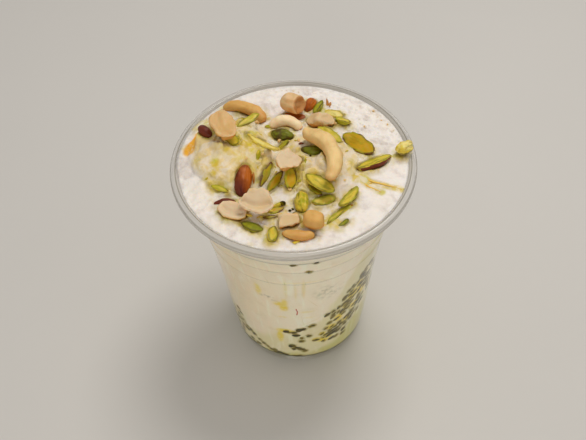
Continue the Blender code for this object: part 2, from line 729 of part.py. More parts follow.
def add_scoops(parts, cutters):
    """The two scoops, and the larger copies that cut their seats in the cream."""
    finish = material("ice_cream", CREAM_WHITE, 0.5)
    scoops = []
    for name, scoop in (("left", SCOOP_LEFT), ("middle", SCOOP_MIDDLE)):
        node = "ice_cream_scoop_" + name
        scoops.append(new_object(node, scoop_mesh(node, scoop, 0.0), parts, finish))
        seat = "seat_" + name
        hide(new_object(seat, scoop_mesh(seat, scoop, GAP), cutters))
    return scoops


def cut_sockets(obj, cutters):
    """Cuts every seat in a soft piece at once, and drops the crumbs that leaves."""
    boolean = obj.modifiers.new("Sockets", "BOOLEAN")
    boolean.operation = "DIFFERENCE"
    boolean.operand_type = "COLLECTION"
    boolean.collection = cutters
    boolean.solver = "MANIFOLD"
    applied(obj)
    drop_scraps(obj)
    obj.data.shade_smooth()
    obj.data.set_sharp_from_angle(angle=math.radians(45))


def main():
    clear_scene()
    parts = new_collection("falooda", True)
    cutters = new_collection("layer_cutters", False)
    nut_sockets = new_collection("nut_sockets", False)
    scoop_seats = new_collection("scoop_seats", False)
    cup = add_cup(parts)
    add_layers(parts, cutters)
    cream = add_cream(parts)
    fuse_small_things(cream, new_collection("small_things", False))
    scoops = add_scoops(parts, scoop_seats)
    bpy.context.view_layer.update()
    pile = Pile(parts, nut_sockets, cup)
    for lay in (lay_under_layer, lay_front, lay_back, lay_left, lay_middle, lay_right, lay_shavings):
        lay(pile)
    pile.add_sockets()
    cut_sockets(cream, scoop_seats)
    for soft in [cream] + scoops:
        cut_sockets(soft, nut_sockets)


main()
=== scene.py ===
import math
import random

import bmesh
import bpy
import numpy
from bpy.props import FloatProperty, FloatVectorProperty, IntProperty, PointerProperty
from mathutils import Matrix, Vector, noise
from mathutils.bvhtree import BVHTree
from mathutils.kdtree import KDTree


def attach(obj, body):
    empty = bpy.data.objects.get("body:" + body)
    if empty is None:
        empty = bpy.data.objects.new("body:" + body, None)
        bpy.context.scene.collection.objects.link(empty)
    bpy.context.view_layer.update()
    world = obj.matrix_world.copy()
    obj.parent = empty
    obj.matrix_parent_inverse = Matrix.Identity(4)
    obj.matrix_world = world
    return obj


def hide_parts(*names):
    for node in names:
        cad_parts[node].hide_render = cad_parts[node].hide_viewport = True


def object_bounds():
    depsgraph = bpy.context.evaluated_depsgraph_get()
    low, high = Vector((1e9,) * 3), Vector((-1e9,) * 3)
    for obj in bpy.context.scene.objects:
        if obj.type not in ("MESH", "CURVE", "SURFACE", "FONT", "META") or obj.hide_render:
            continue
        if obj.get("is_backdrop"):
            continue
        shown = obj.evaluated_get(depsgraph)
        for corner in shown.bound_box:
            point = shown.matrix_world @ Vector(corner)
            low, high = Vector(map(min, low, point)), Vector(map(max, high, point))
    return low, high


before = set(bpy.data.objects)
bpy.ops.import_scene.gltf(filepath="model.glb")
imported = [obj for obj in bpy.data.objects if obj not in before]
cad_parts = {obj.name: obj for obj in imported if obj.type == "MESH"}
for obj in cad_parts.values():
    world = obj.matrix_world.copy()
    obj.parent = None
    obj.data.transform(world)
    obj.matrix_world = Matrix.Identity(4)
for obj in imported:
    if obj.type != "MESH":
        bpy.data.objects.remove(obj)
cad_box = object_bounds()

# Falooda in its clear plastic cup: layered milk drink, cream, two mounds of ice cream, nuts and saffron.
# Everything is in metres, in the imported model's own frame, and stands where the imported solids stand.

bl_info = {
    "name": "Falooda in a clear cup",
    "version": (1, 0, 0),
    "blender": (4, 5, 0),
    "location": "View3D > Sidebar > Falooda",
    "description": "Dresses the packed falooda: cup, drink, cream, ice cream, nuts and saffron",
    "category": "Add Mesh",
}

MM = 0.001
WELD = 0.00001
INTO_WALL = 0.00006
CREAM_BOTTOM = 0.0880
CREAM_LEVEL = 0.1008
CREAM_RISE = 0.0010
CREAM_WAVE = 0.00025
# The height from which things are dropped on the surface under them.
FALL_FROM = 0.2
UP = Vector((0.0, 0.0, 1.0))
DOWN = Vector((0.0, 0.0, -1.0))
NUT_KINDS = ("cashew", "pistachio", "almond")

# Camera, worked out from the ellipse of the rim, the foot and the height of the cup.
PHOTO_WIDTH = 586
SENSOR = 36.0
FOCAL_PIXELS = 892.0
CAMERA_DISTANCE = 0.380
CAMERA_TILT = math.radians(49.25)
CAMERA_ROLL = math.radians(-2.78)
CAMERA_TARGET = Vector((-0.00118, 0.0, 0.0655))


def screen_colour(red, green, blue):
    """A colour as a screen shows it, 0 to 255 each, as the plain light that shaders mix."""
    return tuple(((c / 255.0 + 0.055) / 1.055) ** 2.4 if c > 10 else c / 3294.6 for c in (red, green, blue))


def smooth_step(value, low, high):
    """0 below low, 1 above high, and a soft rise between."""
    share = min(1.0, max(0.0, (value - low) / (high - low)))
    return share * share * (3.0 - 2.0 * share)


def scaled(colour, *factors):
    """A colour with its three parts multiplied, all by one factor or each by its own."""
    return tuple(min(1.0, part * factor) for part, factor in zip(colour, factors * (3 // len(factors))))


def halfway(first, second):
    """The colour halfway between two."""
    return tuple((a + b) * 0.5 for a, b in zip(first, second))


def smooth_peak(first, second, reach):
    """The higher of two heights, with the corner between them filled over that reach."""
    gap = max(reach - abs(first - second), 0.0) / reach
    return max(first, second) + gap * gap * reach * 0.25


# Meshes


def nodes_named(kind):
    """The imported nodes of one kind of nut, in order of name."""
    return sorted(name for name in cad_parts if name.startswith(kind + "_"))


def welded(node):
    """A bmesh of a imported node, with the corners that the import split joined again."""
    mesh = bmesh.new()
    mesh.from_mesh(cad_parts[node].data)
    bmesh.ops.remove_doubles(mesh, verts=mesh.verts, dist=WELD)
    return mesh


def rows_of(items, field):
    """The threes of numbers kept under a field of many items, as rows."""
    flat = numpy.empty(len(items) * 3, dtype=numpy.float32)
    items.foreach_get(field, flat)
    return flat.reshape(-1, 3).astype(float)


def points_of(mesh):
    """The vertices of a mesh as rows of x, y and z."""
    return rows_of(mesh.vertices, "co")


def normals_of(mesh):
    """The vertex normals of a mesh as rows of x, y and z."""
    return rows_of(mesh.vertex_normals, "vector")


def move_points(mesh, points):
    """Puts the vertices of a mesh at these places."""
    mesh.vertices.foreach_set("co", numpy.asarray(points, dtype=numpy.float32).ravel())
    mesh.update()


def set_values(mesh, name, values):
    """Keeps one number for each vertex, which a material reads by that name."""
    layer = mesh.attributes.new(name, "FLOAT", "POINT")
    layer.data.foreach_set("value", numpy.asarray(values, dtype=numpy.float32))


def set_places(mesh, name, places):
    """Keeps one place for each vertex, which a material reads by that name."""
    layer = mesh.attributes.new(name, "FLOAT_VECTOR", "POINT")
    layer.data.foreach_set("vector", numpy.asarray(places, dtype=numpy.float32).ravel())


def add_piece(name, mesh, material, slot, *nodes):
    """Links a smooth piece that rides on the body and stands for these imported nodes."""
    piece = bpy.data.objects.new(name, mesh)
    mesh.name = name
    mesh.materials.clear()
    mesh.materials.append(material)
    mesh.shade_smooth()
    bpy.context.scene.collection.objects.link(piece)
    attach(piece, "root")
    if nodes:
        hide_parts(*nodes)
    return piece


def joined_mesh(name, shapes):
    """One mesh of many loose shapes, each given as its points and its faces."""
    points = []
    faces = []
    for shape_points, shape_faces in shapes:
        start = len(points)
        points.extend(tuple(p) for p in shape_points)
        faces.extend(tuple(start + corner for corner in face) for face in shape_faces)
    mesh = bpy.data.meshes.new(name)
    mesh.from_pydata(points, [], faces)
    mesh.update()
    return mesh


def unit_ball(fineness):
    """The points and faces of a ball of radius 1."""
    mesh = bmesh.new()
    bmesh.ops.create_icosphere(mesh, subdivisions=fineness, radius=1.0)
    points = numpy.array([v.co for v in mesh.verts])
    faces = [tuple(v.index for v in face.verts) for face in mesh.faces]
    mesh.free()
    return points, faces


def turned_mesh(name, outline, turns, place):
    """A closed skin turned round the upright axis. Its outline starts and ends on the axis, and place says
    where the point at a radius, height and angle goes."""
    points = [place(0.0, outline[0][1], 0.0)]
    faces = []
    for radius, height in outline[1:-1]:
        for turn in range(turns):
            points.append(place(radius, height, math.tau * turn / turns))
    points.append(place(0.0, outline[-1][1], 0.0))
    rows = len(outline) - 2
    last = len(points) - 1
    for turn in range(turns):
        after = (turn + 1) % turns
        faces.append((0, 1 + turn, 1 + after))
        for row in range(rows - 1):
            here = 1 + row * turns
            faces.append((here + turn, here + turns + turn, here + turns + after, here + after))
        end = 1 + (rows - 1) * turns
        faces.append((end + turn, last, end + after))
    mesh = bpy.data.meshes.new(name)
    mesh.from_pydata(points, [], faces)
    check = bmesh.new()
    check.from_mesh(mesh)
    bmesh.ops.recalc_face_normals(check, faces=check.faces)
    check.to_mesh(mesh)
    check.free()
    return mesh


def tube(centres, radii, sides, flat=1.0):
    """The points and faces of a closed tube through these centres; flat narrows it upright."""
    points = []
    faces = []
    count = len(centres)
    for index, centre in enumerate(centres):
        ahead = centres[min(index + 1, count - 1)] - centres[max(index - 1, 0)]
        across = ahead.cross(UP)
        if across.length < 1e-9:
            across = Vector((1.0, 0.0, 0.0))
        across.normalize()
        upward = across.cross(ahead).normalized()
        for side in range(sides):
            angle = math.tau * side / sides
            arm = across * math.cos(angle) + upward * math.sin(angle) * flat
            points.append(centre + arm * radii[index])
    for index in range(count - 1):
        for side in range(sides):
            after = (side + 1) % sides
            here = index * sides
            faces.append((here + side, here + after, here + sides + after, here + sides + side))
    faces.append(tuple(range(sides))[::-1])
    faces.append(tuple((count - 1) * sides + side for side in range(sides)))
    return points, faces


def fine_copy(node, cell, rounds):
    """An even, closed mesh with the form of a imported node, its facets smoothed over some rounds."""
    rough = welded(node)
    mesh = bpy.data.meshes.new(node + "_fine")
    rough.to_mesh(mesh)
    rough.free()
    worker = bpy.data.objects.new(node + "_worker", mesh)
    bpy.context.scene.collection.objects.link(worker)
    grid = worker.modifiers.new("grid", "REMESH")
    grid.mode = "VOXEL"
    grid.voxel_size = cell
    ease = worker.modifiers.new("ease", "SMOOTH")
    ease.factor = 0.5
    ease.iterations = rounds
    graph = bpy.context.evaluated_depsgraph_get()
    result = bpy.data.meshes.new_from_object(worker.evaluated_get(graph))
    bpy.data.objects.remove(worker)
    bpy.data.meshes.remove(mesh)
    return result


def tree_of(*meshes):
    """A tree that answers what part of some meshes a line meets first, or is nearest to a point."""
    work = bmesh.new()
    for mesh in meshes:
        work.from_mesh(mesh)
    tree = BVHTree.FromBMesh(work)
    work.free()
    return tree


def landing(tree, x, y):
    """Where a thing that falls at x and y lands on a tree, and the way that the surface faces there."""
    return tree.ray_cast(Vector((x, y, FALL_FROM)), DOWN)[:2]


# Materials


class Finish:
    """Builds one node material round a Principled shader. Where a method takes a value, this is a plain
    one, the output of a node, or the name of numbers that are kept on the mesh."""

    def __init__(self, name, **sockets):
        self.material = bpy.data.materials.new(name)
        self.material.use_nodes = True
        self.tree = self.material.node_tree
        self.shader = self.tree.nodes["Principled BSDF"]
        self.place = self.add("ShaderNodeTexCoord").outputs["Object"]
        for socket, value in sockets.items():
            self.shader.inputs[socket.replace("_", " ")].default_value = value

    def add(self, kind, **settings):
        """A new node with these settings."""
        node = self.tree.nodes.new(kind)
        for setting, value in settings.items():
            setattr(node, setting, value)
        return node

    def put(self, socket, value):
        """Sends a value to a socket."""
        if isinstance(value, str):
            value = self.add("ShaderNodeAttribute", attribute_name=value).outputs["Fac"]
        if isinstance(value, bpy.types.NodeSocket):
            self.tree.links.new(value, socket)
        elif socket.type == "RGBA":
            socket.default_value = (*value[:3], 1.0)
        else:
            socket.default_value = value

    def drive(self, socket, value):
        """Sends a value to the shader."""
        self.put(self.shader.inputs[socket], value)

    def own_place(self):
        """The place in a nut's own directions, which is kept on its mesh."""
        return self.add("ShaderNodeAttribute", attribute_name="own").outputs["Vector"]

    def stretched(self, stretch, place=None):
        """The place, drawn out by a factor along each axis."""
        node = self.add("ShaderNodeMapping")
        self.put(node.inputs["Vector"], place or self.place)
        node.inputs["Scale"].default_value = stretch
        return node.outputs["Vector"]

    def noise(self, size, detail, rough=0.5, twist=0.0, place=None):
        """Soft noise with features of about that size in metres, 0 to 1."""
        node = self.add("ShaderNodeTexNoise")
        self.put(node.inputs["Vector"], place or self.place)
        looks = {"Scale": 1.0 / size, "Detail": detail, "Roughness": rough, "Distortion": twist}
        for name, number in looks.items():
            node.inputs[name].default_value = number
        return node.outputs["Fac"]

    def cells(self, size):
        """The distance to the middle of the nearest of many cells of that size."""
        node = self.add("ShaderNodeTexVoronoi")
        self.put(node.inputs["Vector"], self.place)
        node.inputs["Scale"].default_value = 1.0 / size
        return node.outputs["Distance"]

    def radius_and_height(self):
        """The distance from the upright axis and the height above the floor."""
        node = self.add("ShaderNodeSeparateXYZ")
        self.put(node.inputs[0], self.place)
        across = self.sum("POWER", node.outputs["X"], 2.0)
        deep = self.sum("POWER", node.outputs["Y"], 2.0)
        return self.sum("SQRT", self.sum("ADD", across, deep)), node.outputs["Z"]

    def line(self, value, middle, half):
        """1 where the value is at the middle of a narrow band, 0 outside it."""
        away = self.sum("ABSOLUTE", self.sum("SUBTRACT", value, middle))
        return self.band(away, half * 0.35, half, 1.0, 0.0)

    def band(self, value, low, high, start=0.0, end=1.0):
        """A soft rise from start to end while the value goes from low to high."""
        node = self.add("ShaderNodeMapRange", interpolation_type="SMOOTHSTEP")
        self.put(node.inputs["Value"], value)
        for name, number in (("From Min", low), ("From Max", high), ("To Min", start), ("To Max", end)):
            node.inputs[name].default_value = number
        return node.outputs["Result"]

    def sum(self, operation, first, second=0.0):
        """Arithmetic on two values."""
        node = self.add("ShaderNodeMath", operation=operation)
        self.put(node.inputs[0], first)
        self.put(node.inputs[1], second)
        return node.outputs["Value"]

    def times(self, *values):
        """The product of several values."""
        result = values[0]
        for value in values[1:]:
            result = self.sum("MULTIPLY", result, value)
        return result

    def coat(self, under, over, *shares):
        """A colour with another laid over it, by the product of some shares."""
        share = self.times(*shares)
        node = self.add("ShaderNodeMix", data_type="RGBA")
        for index, value in ((0, share), (6, under), (7, over)):
            self.put(node.inputs[index], value)
        return node.outputs[2]

    def bump(self, value, depth, strength):
        """Fine relief of that depth in metres, sent to the shader."""
        node = self.add("ShaderNodeBump")
        self.put(node.inputs["Height"], value)
        node.inputs["Distance"].default_value = depth
        node.inputs["Strength"].default_value = strength
        self.put(self.shader.inputs["Normal"], node.outputs["Normal"])


def food_finish(name, rough, soft, reach, shine=0.5):
    """The finish of a food that light enters: a share of the light, and how far it reaches in metres."""
    return Finish(
        name, Roughness=rough, Subsurface_Weight=soft, Subsurface_Scale=reach, Specular_IOR_Level=shine,
    )


# Sizes and colours that a user may change


def colour_property(label, text, red, green, blue):
    """A colour field whose default is given as a screen shows it."""
    return FloatVectorProperty(
        name=label, description=text, subtype="COLOR", size=3, min=0.0, max=1.0,
        default=screen_colour(red, green, blue),
    )


def share_property(label, text, default):
    """A field for a share from 0 to 1."""
    return FloatProperty(name=label, description=text, default=default, min=0.0, max=1.0, subtype="FACTOR")


def length_property(label, text, default):
    """A field for a length."""
    return FloatProperty(name=label, description=text, default=default, unit="LENGTH")


def light_property(label, text, default, unit="NONE"):
    """A field for the strength of a light."""
    return FloatProperty(name=label, description=text, default=default, min=0.0, unit=unit)


class CupSettings(bpy.types.PropertyGroup):
    """Finish of the clear plastic cup"""

    roughness: share_property("Haze", "How much the moulded plastic blurs what is behind it", 0.09)
    bending: FloatProperty(
        name="Refraction", description="How strongly the plastic bends light", default=1.45, min=1.0, max=2.0,
    )
    milkiness: share_property("Milkiness", "Share of the light that the wall scatters", 0.005)
    lip_milkiness: share_property("Lip milkiness", "Share of the light that the thicker lip scatters", 0.40)
    turns: IntProperty(name="Segments", description="Segments round the cup", default=168, min=32, max=512)
    tint: colour_property("Tint", "Colour of the plastic", 250, 249, 247)
    # Colour of the thin lines of painted shade at the rings and round the lip.
    line: colour_property("Painted shade lines", "Painted shade along the rings and round the lip", 172, 168, 156)


class DrinkSettings(bpy.types.PropertyGroup):
    """Colours of the layered drink and sizes of what floats in it"""

    milk: colour_property("Milk", "Upper part of the drink", 250, 238, 212)
    tan: colour_property("Warm milk", "Left side of the drink", 244, 226, 190)
    base: colour_property("Base", "Thin layer under the seeds", 214, 208, 128)
    gel: colour_property("Seed gel", "Soft coat round the soaked seeds", 148, 130, 6)
    stain: colour_property("Syrup", "Saffron syrup in the drink", 240, 212, 30)
    murk: colour_property("Hidden seeds", "Seeds that only show faintly", 138, 138, 100)
    seed: colour_property("Basil seed", "Soaked basil seed", 48, 40, 0)
    noodle: colour_property("Vermicelli", "Thin noodle against the wall", 240, 228, 190)
    thread: colour_property("Saffron thread", "Thread of saffron in the drink", 172, 72, 40)
    seed_length: length_property("Seed length", "Length of a soaked seed", 0.0037)
    seed_gap: length_property("Seed spacing", "Least distance between two seeds", 0.0014)
    noodle_width: length_property("Noodle width", "Diameter of a vermicelli strand", 0.0011)


class CreamSettings(bpy.types.PropertyGroup):
    """Colours and relief of the cream and the ice cream"""

    cream: colour_property("Cream", "Whipped surface of the cream", 246, 239, 232)
    shade: colour_property("Painted cream shade", "Painted shade in soft patches on the cream", 218, 208, 200)
    wall: colour_property("Cream at the wall", "Cream that shows through the cup's wall", 246, 236, 212)
    ice: colour_property("Ice cream", "Mounds of ice cream", 232, 207, 150)
    syrup: colour_property("Yellow syrup", "Syrup soaked into the cream", 216, 188, 30)
    orange: colour_property("Orange syrup", "Saffron streak at the wall", 240, 176, 44)
    speck: colour_property("Specks", "Toasted dust on the cream", 206, 180, 136)
    saffron: colour_property("Saffron", "Strands on the cream", 238, 196, 78)
    relief: length_property("Relief", "Depth of the wrinkles in the cream", 0.00060)


class NutSettings(bpy.types.PropertyGroup):
    """Colours of the nuts"""

    cashew: colour_property("Cashew", "Pale side of a cashew", 228, 192, 126)
    golden: colour_property("Golden cashew", "Side of a cashew browned in butter", 214, 165, 88)
    # Also the colour of the painted shade on a cashew's underside.
    roasted: colour_property("Roasted cashew", "Toasted side of a cashew", 206, 138, 58)
    broken: colour_property("Broken cashew", "Face where a cashew broke", 222, 196, 158)
    green: colour_property("Green pistachio", "Green kernel", 172, 168, 26)
    gold: colour_property("Gold pistachio", "Cut face of a kernel", 196, 152, 6)
    lime: colour_property("Lime pistachio", "Paler green of a kernel", 222, 196, 66)
    pale: colour_property("Pale pistachio", "Palest cut face of a kernel", 238, 220, 132)
    olive: colour_property("Olive pistachio", "Browned cut face of a kernel", 116, 122, 12)
    dark: colour_property("Dark pistachio", "Dark edge of a kernel", 84, 66, 8)
    skin: colour_property("Pistachio skin", "Thin skin of a kernel", 118, 54, 36)
    almond: colour_property("Almond skin", "Skin of an almond", 112, 42, 20)
    almond_light: colour_property("Light almond skin", "Painted lit end and worn skin of an almond", 188, 98, 0)


class StageSettings(bpy.types.PropertyGroup):
    """Floor and light round the cup"""

    floor: colour_property("Floor", "Plain pale floor", 212, 209, 204)
    sky: light_property("Fill light", "Strength of the light all round", 0.44)
    key: light_property("Key light", "Power of the large lamp overhead", 2.15, "POWER")
    side: light_property("Front light", "Power of the softer lamp in front", 1.6, "POWER")


# The cup


def cup_outline():
    """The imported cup's outline as radius and height, from the middle of its floor round the lip to the
    middle of its underside."""
    mesh = welded("cup")
    line = {v for v in mesh.verts if abs(v.co.y) < WELD and v.co.x > 0.0}

    def ahead(v):
        return [other for other in (edge.other_vert(v) for edge in v.link_edges) if other in line]

    here = max((v for v in line if len(ahead(v)) == 1), key=lambda v: v.co.z)
    outline = [(0.0, here.co.z)]
    while here is not None:
        line.discard(here)
        outline.append((here.co.x, here.co.z))
        here = next(iter(ahead(here)), None)
    mesh.free()
    if line:
        raise RuntimeError("the cup's outline isn't one line")
    return outline + [(0.0, outline[-1][1])]


def cut_corners(outline, reach):
    """The outline with each corner cut back by at most that reach."""
    result = [outline[0]]
    for before, corner, after in zip(outline, outline[1:], outline[2:]):
        for other in (before, after):
            length = math.dist(other, corner)
            share = min(reach, length * 0.3) / max(length, 1e-9)
            result.append(tuple(c + (o - c) * share for c, o in zip(corner, other)))
    return result + [outline[-1]]


OUTLINE = cup_outline()
FLOOR = OUTLINE[0][1]
TOP_INDEX = max(range(len(OUTLINE)), key=lambda index: OUTLINE[index][1])
INNER_RADII, INNER_HEIGHTS = numpy.array(OUTLINE[1:TOP_INDEX + 1]).T


def inner_radius(height):
    """The radius of the inside of the wall at a height."""
    return float(numpy.interp(height, INNER_HEIGHTS, INNER_RADII))


def round_place(radius, height, angle):
    """The point at a radius, height and angle."""
    return (radius * math.cos(angle), radius * math.sin(angle), height)


def outward_at(angle):
    """The level direction away from the axis at an angle."""
    return Vector((math.cos(angle), math.sin(angle), 0.0))


# Heights and radii of the moulded rings and the lip, and of the lines of painted shade drawn along them in the
# plastic's colour.
RING_HEIGHTS = (0.0705, 0.0812)
UNDER_LIP_SHADOW = 0.0886
LIP_BOTTOM = 0.0986
LIP_FADE = 0.0006
UNDER_SKIRT = 0.0989
SKIRT_RADIUS = 0.0477
SKIRT_SHADE_LINE = 0.0998
LIP_TOP = 0.1008
INSIDE_SHADE_LINE = 0.10115
INSIDE_EDGE = 0.0462
TOP_SHADE_RADIUS = 0.0467
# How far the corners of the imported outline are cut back, in rounds.
CORNER_CUTS = (0.00030, 0.00012)


def plastic_material(settings):
    """Clear moulded plastic, milkier at the lip, with thin lines of painted shade at its moulded rings and
    round the lip, that lets the lamps reach what is behind it."""
    finish = Finish("clear_moulded_plastic", IOR=settings.bending, Specular_IOR_Level=0.10)
    radius, height = finish.radius_and_height()
    lip = (height, LIP_BOTTOM, LIP_BOTTOM + LIP_FADE)
    clear = finish.band(*lip, 1.0 - settings.milkiness, 1.0 - settings.lip_milkiness)
    finish.drive("Transmission Weight", clear)
    haze = finish.noise(0.012, 4.0, 0.6)
    rough = settings.roughness
    finish.drive("Roughness", finish.band(haze, 0.3, 0.75, rough * 0.6, rough * 1.7))
    skirt = finish.band(radius, SKIRT_RADIUS - 0.0003, SKIRT_RADIUS)
    top = finish.band(height, LIP_TOP, LIP_TOP + 0.0003)
    # Painted shade: thin dark lines at the ring steps, along and under the lip's skirt, below the lip and
    # round its inner edge.
    marks = [(finish.line(height, ring, 0.0006), 0.45) for ring in RING_HEIGHTS]
    marks += [
        (finish.line(height, SKIRT_SHADE_LINE, 0.00035), skirt),
        (finish.band(height, UNDER_SKIRT, UNDER_SKIRT + 0.0003, 1.0, 0.0), skirt),
        (finish.line(height, UNDER_LIP_SHADOW, 0.0007), 0.7),
        (finish.line(height, INSIDE_SHADE_LINE, 0.00045), 0.7),
        (finish.line(radius, TOP_SHADE_RADIUS, 0.00035), top),
        (finish.band(radius, INSIDE_EDGE, INSIDE_EDGE + 0.0007, 0.35, 0.0), top),
    ]
    # dark holds the painted shade of all these lines.
    dark = 0.0
    for mark, strength in marks:
        dark = finish.sum("MAXIMUM", dark, finish.times(mark, strength))
    tint = finish.coat(settings.tint, scaled(settings.tint, 0.84, 0.82, 0.80), finish.band(*lip))
    finish.drive("Base Color", finish.coat(tint, settings.line, dark))
    lines = finish.noise(0.02, 1.0, 0.4, place=finish.stretched((1.0, 1.0, 0.3)))
    finish.bump(lines, 0.00002, 0.3)
    path = finish.add("ShaderNodeLightPath")
    lamps = finish.sum("MAXIMUM", path.outputs["Is Shadow Ray"], path.outputs["Is Diffuse Ray"])
    through = finish.add("ShaderNodeBsdfTransparent")
    through.inputs["Color"].default_value = (0.97, 0.97, 0.97, 1.0)
    mix = finish.add("ShaderNodeMixShader")
    for index, value in enumerate((lamps, finish.shader.outputs[0], through.outputs[0])):
        finish.put(mix.inputs[index], value)
    finish.put(finish.tree.nodes["Material Output"].inputs["Surface"], mix.outputs[0])
    return finish.material


def make_cup(settings):
    """The clear cup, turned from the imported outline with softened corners."""
    outline = OUTLINE
    for reach in CORNER_CUTS:
        outline = cut_corners(outline, reach)
    mesh = turned_mesh("clear_cup", outline, settings.turns, round_place)
    add_piece("clear_cup", mesh, plastic_material(settings), "clear_plastic", "cup")


# The drink

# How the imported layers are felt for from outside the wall: the directions round the cup, the heights and the
# step between them, the distance from the axis, and how near the wall a layer counts as touching it.
LAYER_TURNS = 96
LAYER_STEPS = 180
LAYER_STEP = 0.0005
LOOK_FROM = 0.06
AT_WALL = 0.0012
# Steps in a line drawn on the wall, and in the skin of the drink.
PATH_STEPS = 8
DRINK_TURNS = 400
DRINK_ROWS = 170
# Seeds: how often a place is tried, between which heights, their half thickness, how far they reach into the
# wall, and the direction of the band at the right with the slant of its seeds.
SEED_TRIES = 9000
SEED_HEIGHTS = (0.0045, 0.076)
SEED_HALF_THICK = 0.0004
SEED_INTO_WALL = 0.00018
BAND_MIDDLE = math.radians(-48.0)
BAND_SLANT = 0.75
NOODLE_COUNT = 50
NOODLE_HEIGHTS = (0.018, 0.072)
NOODLE_LENGTHS = (0.010, 0.026)
THREAD_RADIUS = 0.00028
# Spots on the wall. Directions are in degrees round the cup, heights and sizes in millimetres, and the
# strength comes last, or for a noodle its lean.
SEED_SPOTS = (
    (-101.5, 29.0), (-98.5, 28.2), (-95.5, 28.0), (-94.0, 25.6), (-91.5, 30.6), (-88.5, 31.0), (-83.5, 33.0),
    (-81.0, 33.4), (-98.0, 15.8), (-95.5, 15.0), (-93.0, 13.8), (-96.5, 13.0), (-90.5, 12.2), (-87.5, 10.4),
    (-92.6, 88.1), (-80.4, 88.4), (-84.2, 80.6), (-84.0, 24.4), (-90.0, 23.0),
)
SEED_BAND = (
    (-33.0, 57.5), (-41.0, 55.5), (-47.5, 51.5), (-53.0, 45.5), (-58.5, 39.0), (-64.0, 31.5),
    (-69.5, 22.0),
)
SEED_SWATH = ((-37.0, 50.5), (-43.0, 44.0), (-49.0, 38.0), (-55.0, 31.0), (-61.0, 24.5), (-66.0, 19.5))
SEED_FOOT = ((-130.0, 13.0), (-118.0, 9.0), (-109.0, 6.3), (-100.0, 5.0), (-90.0, 4.6))
STAIN_SPOTS = (
    (-117.6, 61.5, 1.8, 5.0, 0.7), (-101.2, 50.0, 2.2, 3.4, 1.0), (-103.6, 52.6, 3.0, 2.4, 0.9),
    (-100.4, 54.0, 1.6, 4.0, 0.8), (-106.6, 24.0, 1.8, 6.4, 0.9), (-102.6, 29.2, 4.4, 2.2, 1.0),
    (-71.0, 18.5, 4.2, 2.4, 1.0), (-103.0, 41.5, 2.2, 0.8, 0.5), (-87.4, 66.0, 0.8, 8.5, 0.4),
    (-98.8, 66.0, 0.8, 10.0, 0.35), (-92.6, 64.0, 0.7, 7.5, 0.3), (-88.0, 71.2, 9.0, 0.7, 0.3),
    (-49.0, 46.0, 3.0, 4.4, 1.0), (-43.0, 49.0, 2.4, 4.4, 1.0), (-60.0, 33.0, 2.6, 3.6, 1.0),
    (-66.5, 28.0, 3.0, 2.0, 0.9), (-54.0, 40.0, 2.0, 3.0, 0.8), (-78.0, 20.5, 3.0, 1.6, 0.6),
    (-85.5, 46.0, 3.6, 1.0, 0.35), (-84.0, 41.0, 2.4, 0.8, 0.3), (-46.0, 36.0, 3.4, 3.0, 0.8),
    (-52.5, 28.5, 3.0, 2.2, 0.8), (-38.0, 43.0, 2.6, 3.4, 0.8), (-73.0, 24.0, 2.0, 1.6, 0.7),
)
MURK_SPOTS = (
    (-114.9, 57.8, 1.6, 1.3, 1.0), (-110.6, 56.8, 2.4, 1.3, 1.0), (-107.4, 55.6, 2.0, 1.0, 0.8),
    (-71.0, 60.0, 7.0, 6.0, 0.5), (-56.0, 24.0, 7.0, 6.0, 1.0), (-44.0, 34.0, 5.0, 7.0, 1.0),
    (-142.0, 20.0, 2.0, 3.0, 0.8), (-36.0, 46.0, 4.0, 6.0, 0.8),
)
NOODLE_SPOTS = (
    (-98.8, 66.0, 19.0, 0.0), (-87.2, 66.0, 18.0, 0.35), (-92.8, 64.0, 14.0, -0.1),
    (-81.0, 37.5, 11.0, 2.6),
)
THREAD = ((-92.9, 49.4), (-92.0, 46.6), (-92.6, 43.6))


def layer_edges(node):
    """The lowest and highest place where a packed layer meets the wall, for each direction round the cup."""
    mesh = welded(node)
    tree = BVHTree.FromBMesh(mesh)
    mesh.free()
    edges = []
    for turn in range(LAYER_TURNS):
        outward = outward_at(math.tau * turn / LAYER_TURNS)
        heights = []
        for step in range(1, LAYER_STEPS):
            height = FLOOR + step * LAYER_STEP
            hit = tree.ray_cast(outward * LOOK_FROM + Vector((0.0, 0.0, height)), -outward)[0]
            if hit is not None and Vector((hit.x, hit.y)).length > inner_radius(height) - AT_WALL:
                heights.append(height)
        edges.append((min(heights), max(heights)) if heights else (0.0, 0.0))
    return edges


def edge_at(edges, angle):
    """The lowest and highest place of a layer in a direction, between the measured ones."""
    turn = (angle / math.tau * LAYER_TURNS) % LAYER_TURNS
    before = int(turn) % LAYER_TURNS
    after = (before + 1) % LAYER_TURNS
    share = turn - int(turn)
    return tuple(a + (b - a) * share for a, b in zip(edges[before], edges[after]))


def in_layer(edges, angle, height, softness):
    """1 well inside a layer, 0 well outside it."""
    low, high = edge_at(edges, angle)
    above = smooth_step(height, low - softness, low + softness)
    return above * smooth_step(-height, -high - softness, -high + softness)


def wall_point(angle, height, depth):
    """A point at a depth behind the inside of the wall."""
    return Vector(round_place(inner_radius(height) - depth, height, angle))


def wall_path(corners):
    """Points on the wall along a line through these directions and heights."""
    path = []
    for (turn, height), (next_turn, next_height) in zip(corners, corners[1:]):
        for step in range(PATH_STEPS):
            share = step / PATH_STEPS
            angle = math.radians(turn + (next_turn - turn) * share)
            path.append(wall_point(angle, (height + (next_height - height) * share) * MM, 0.0))
    return path


def nearness(spot, path, near, far):
    """1 within the near distance of a path, 0 beyond the far one."""
    return smooth_step(-min((spot - point).length for point in path), -far, -near)


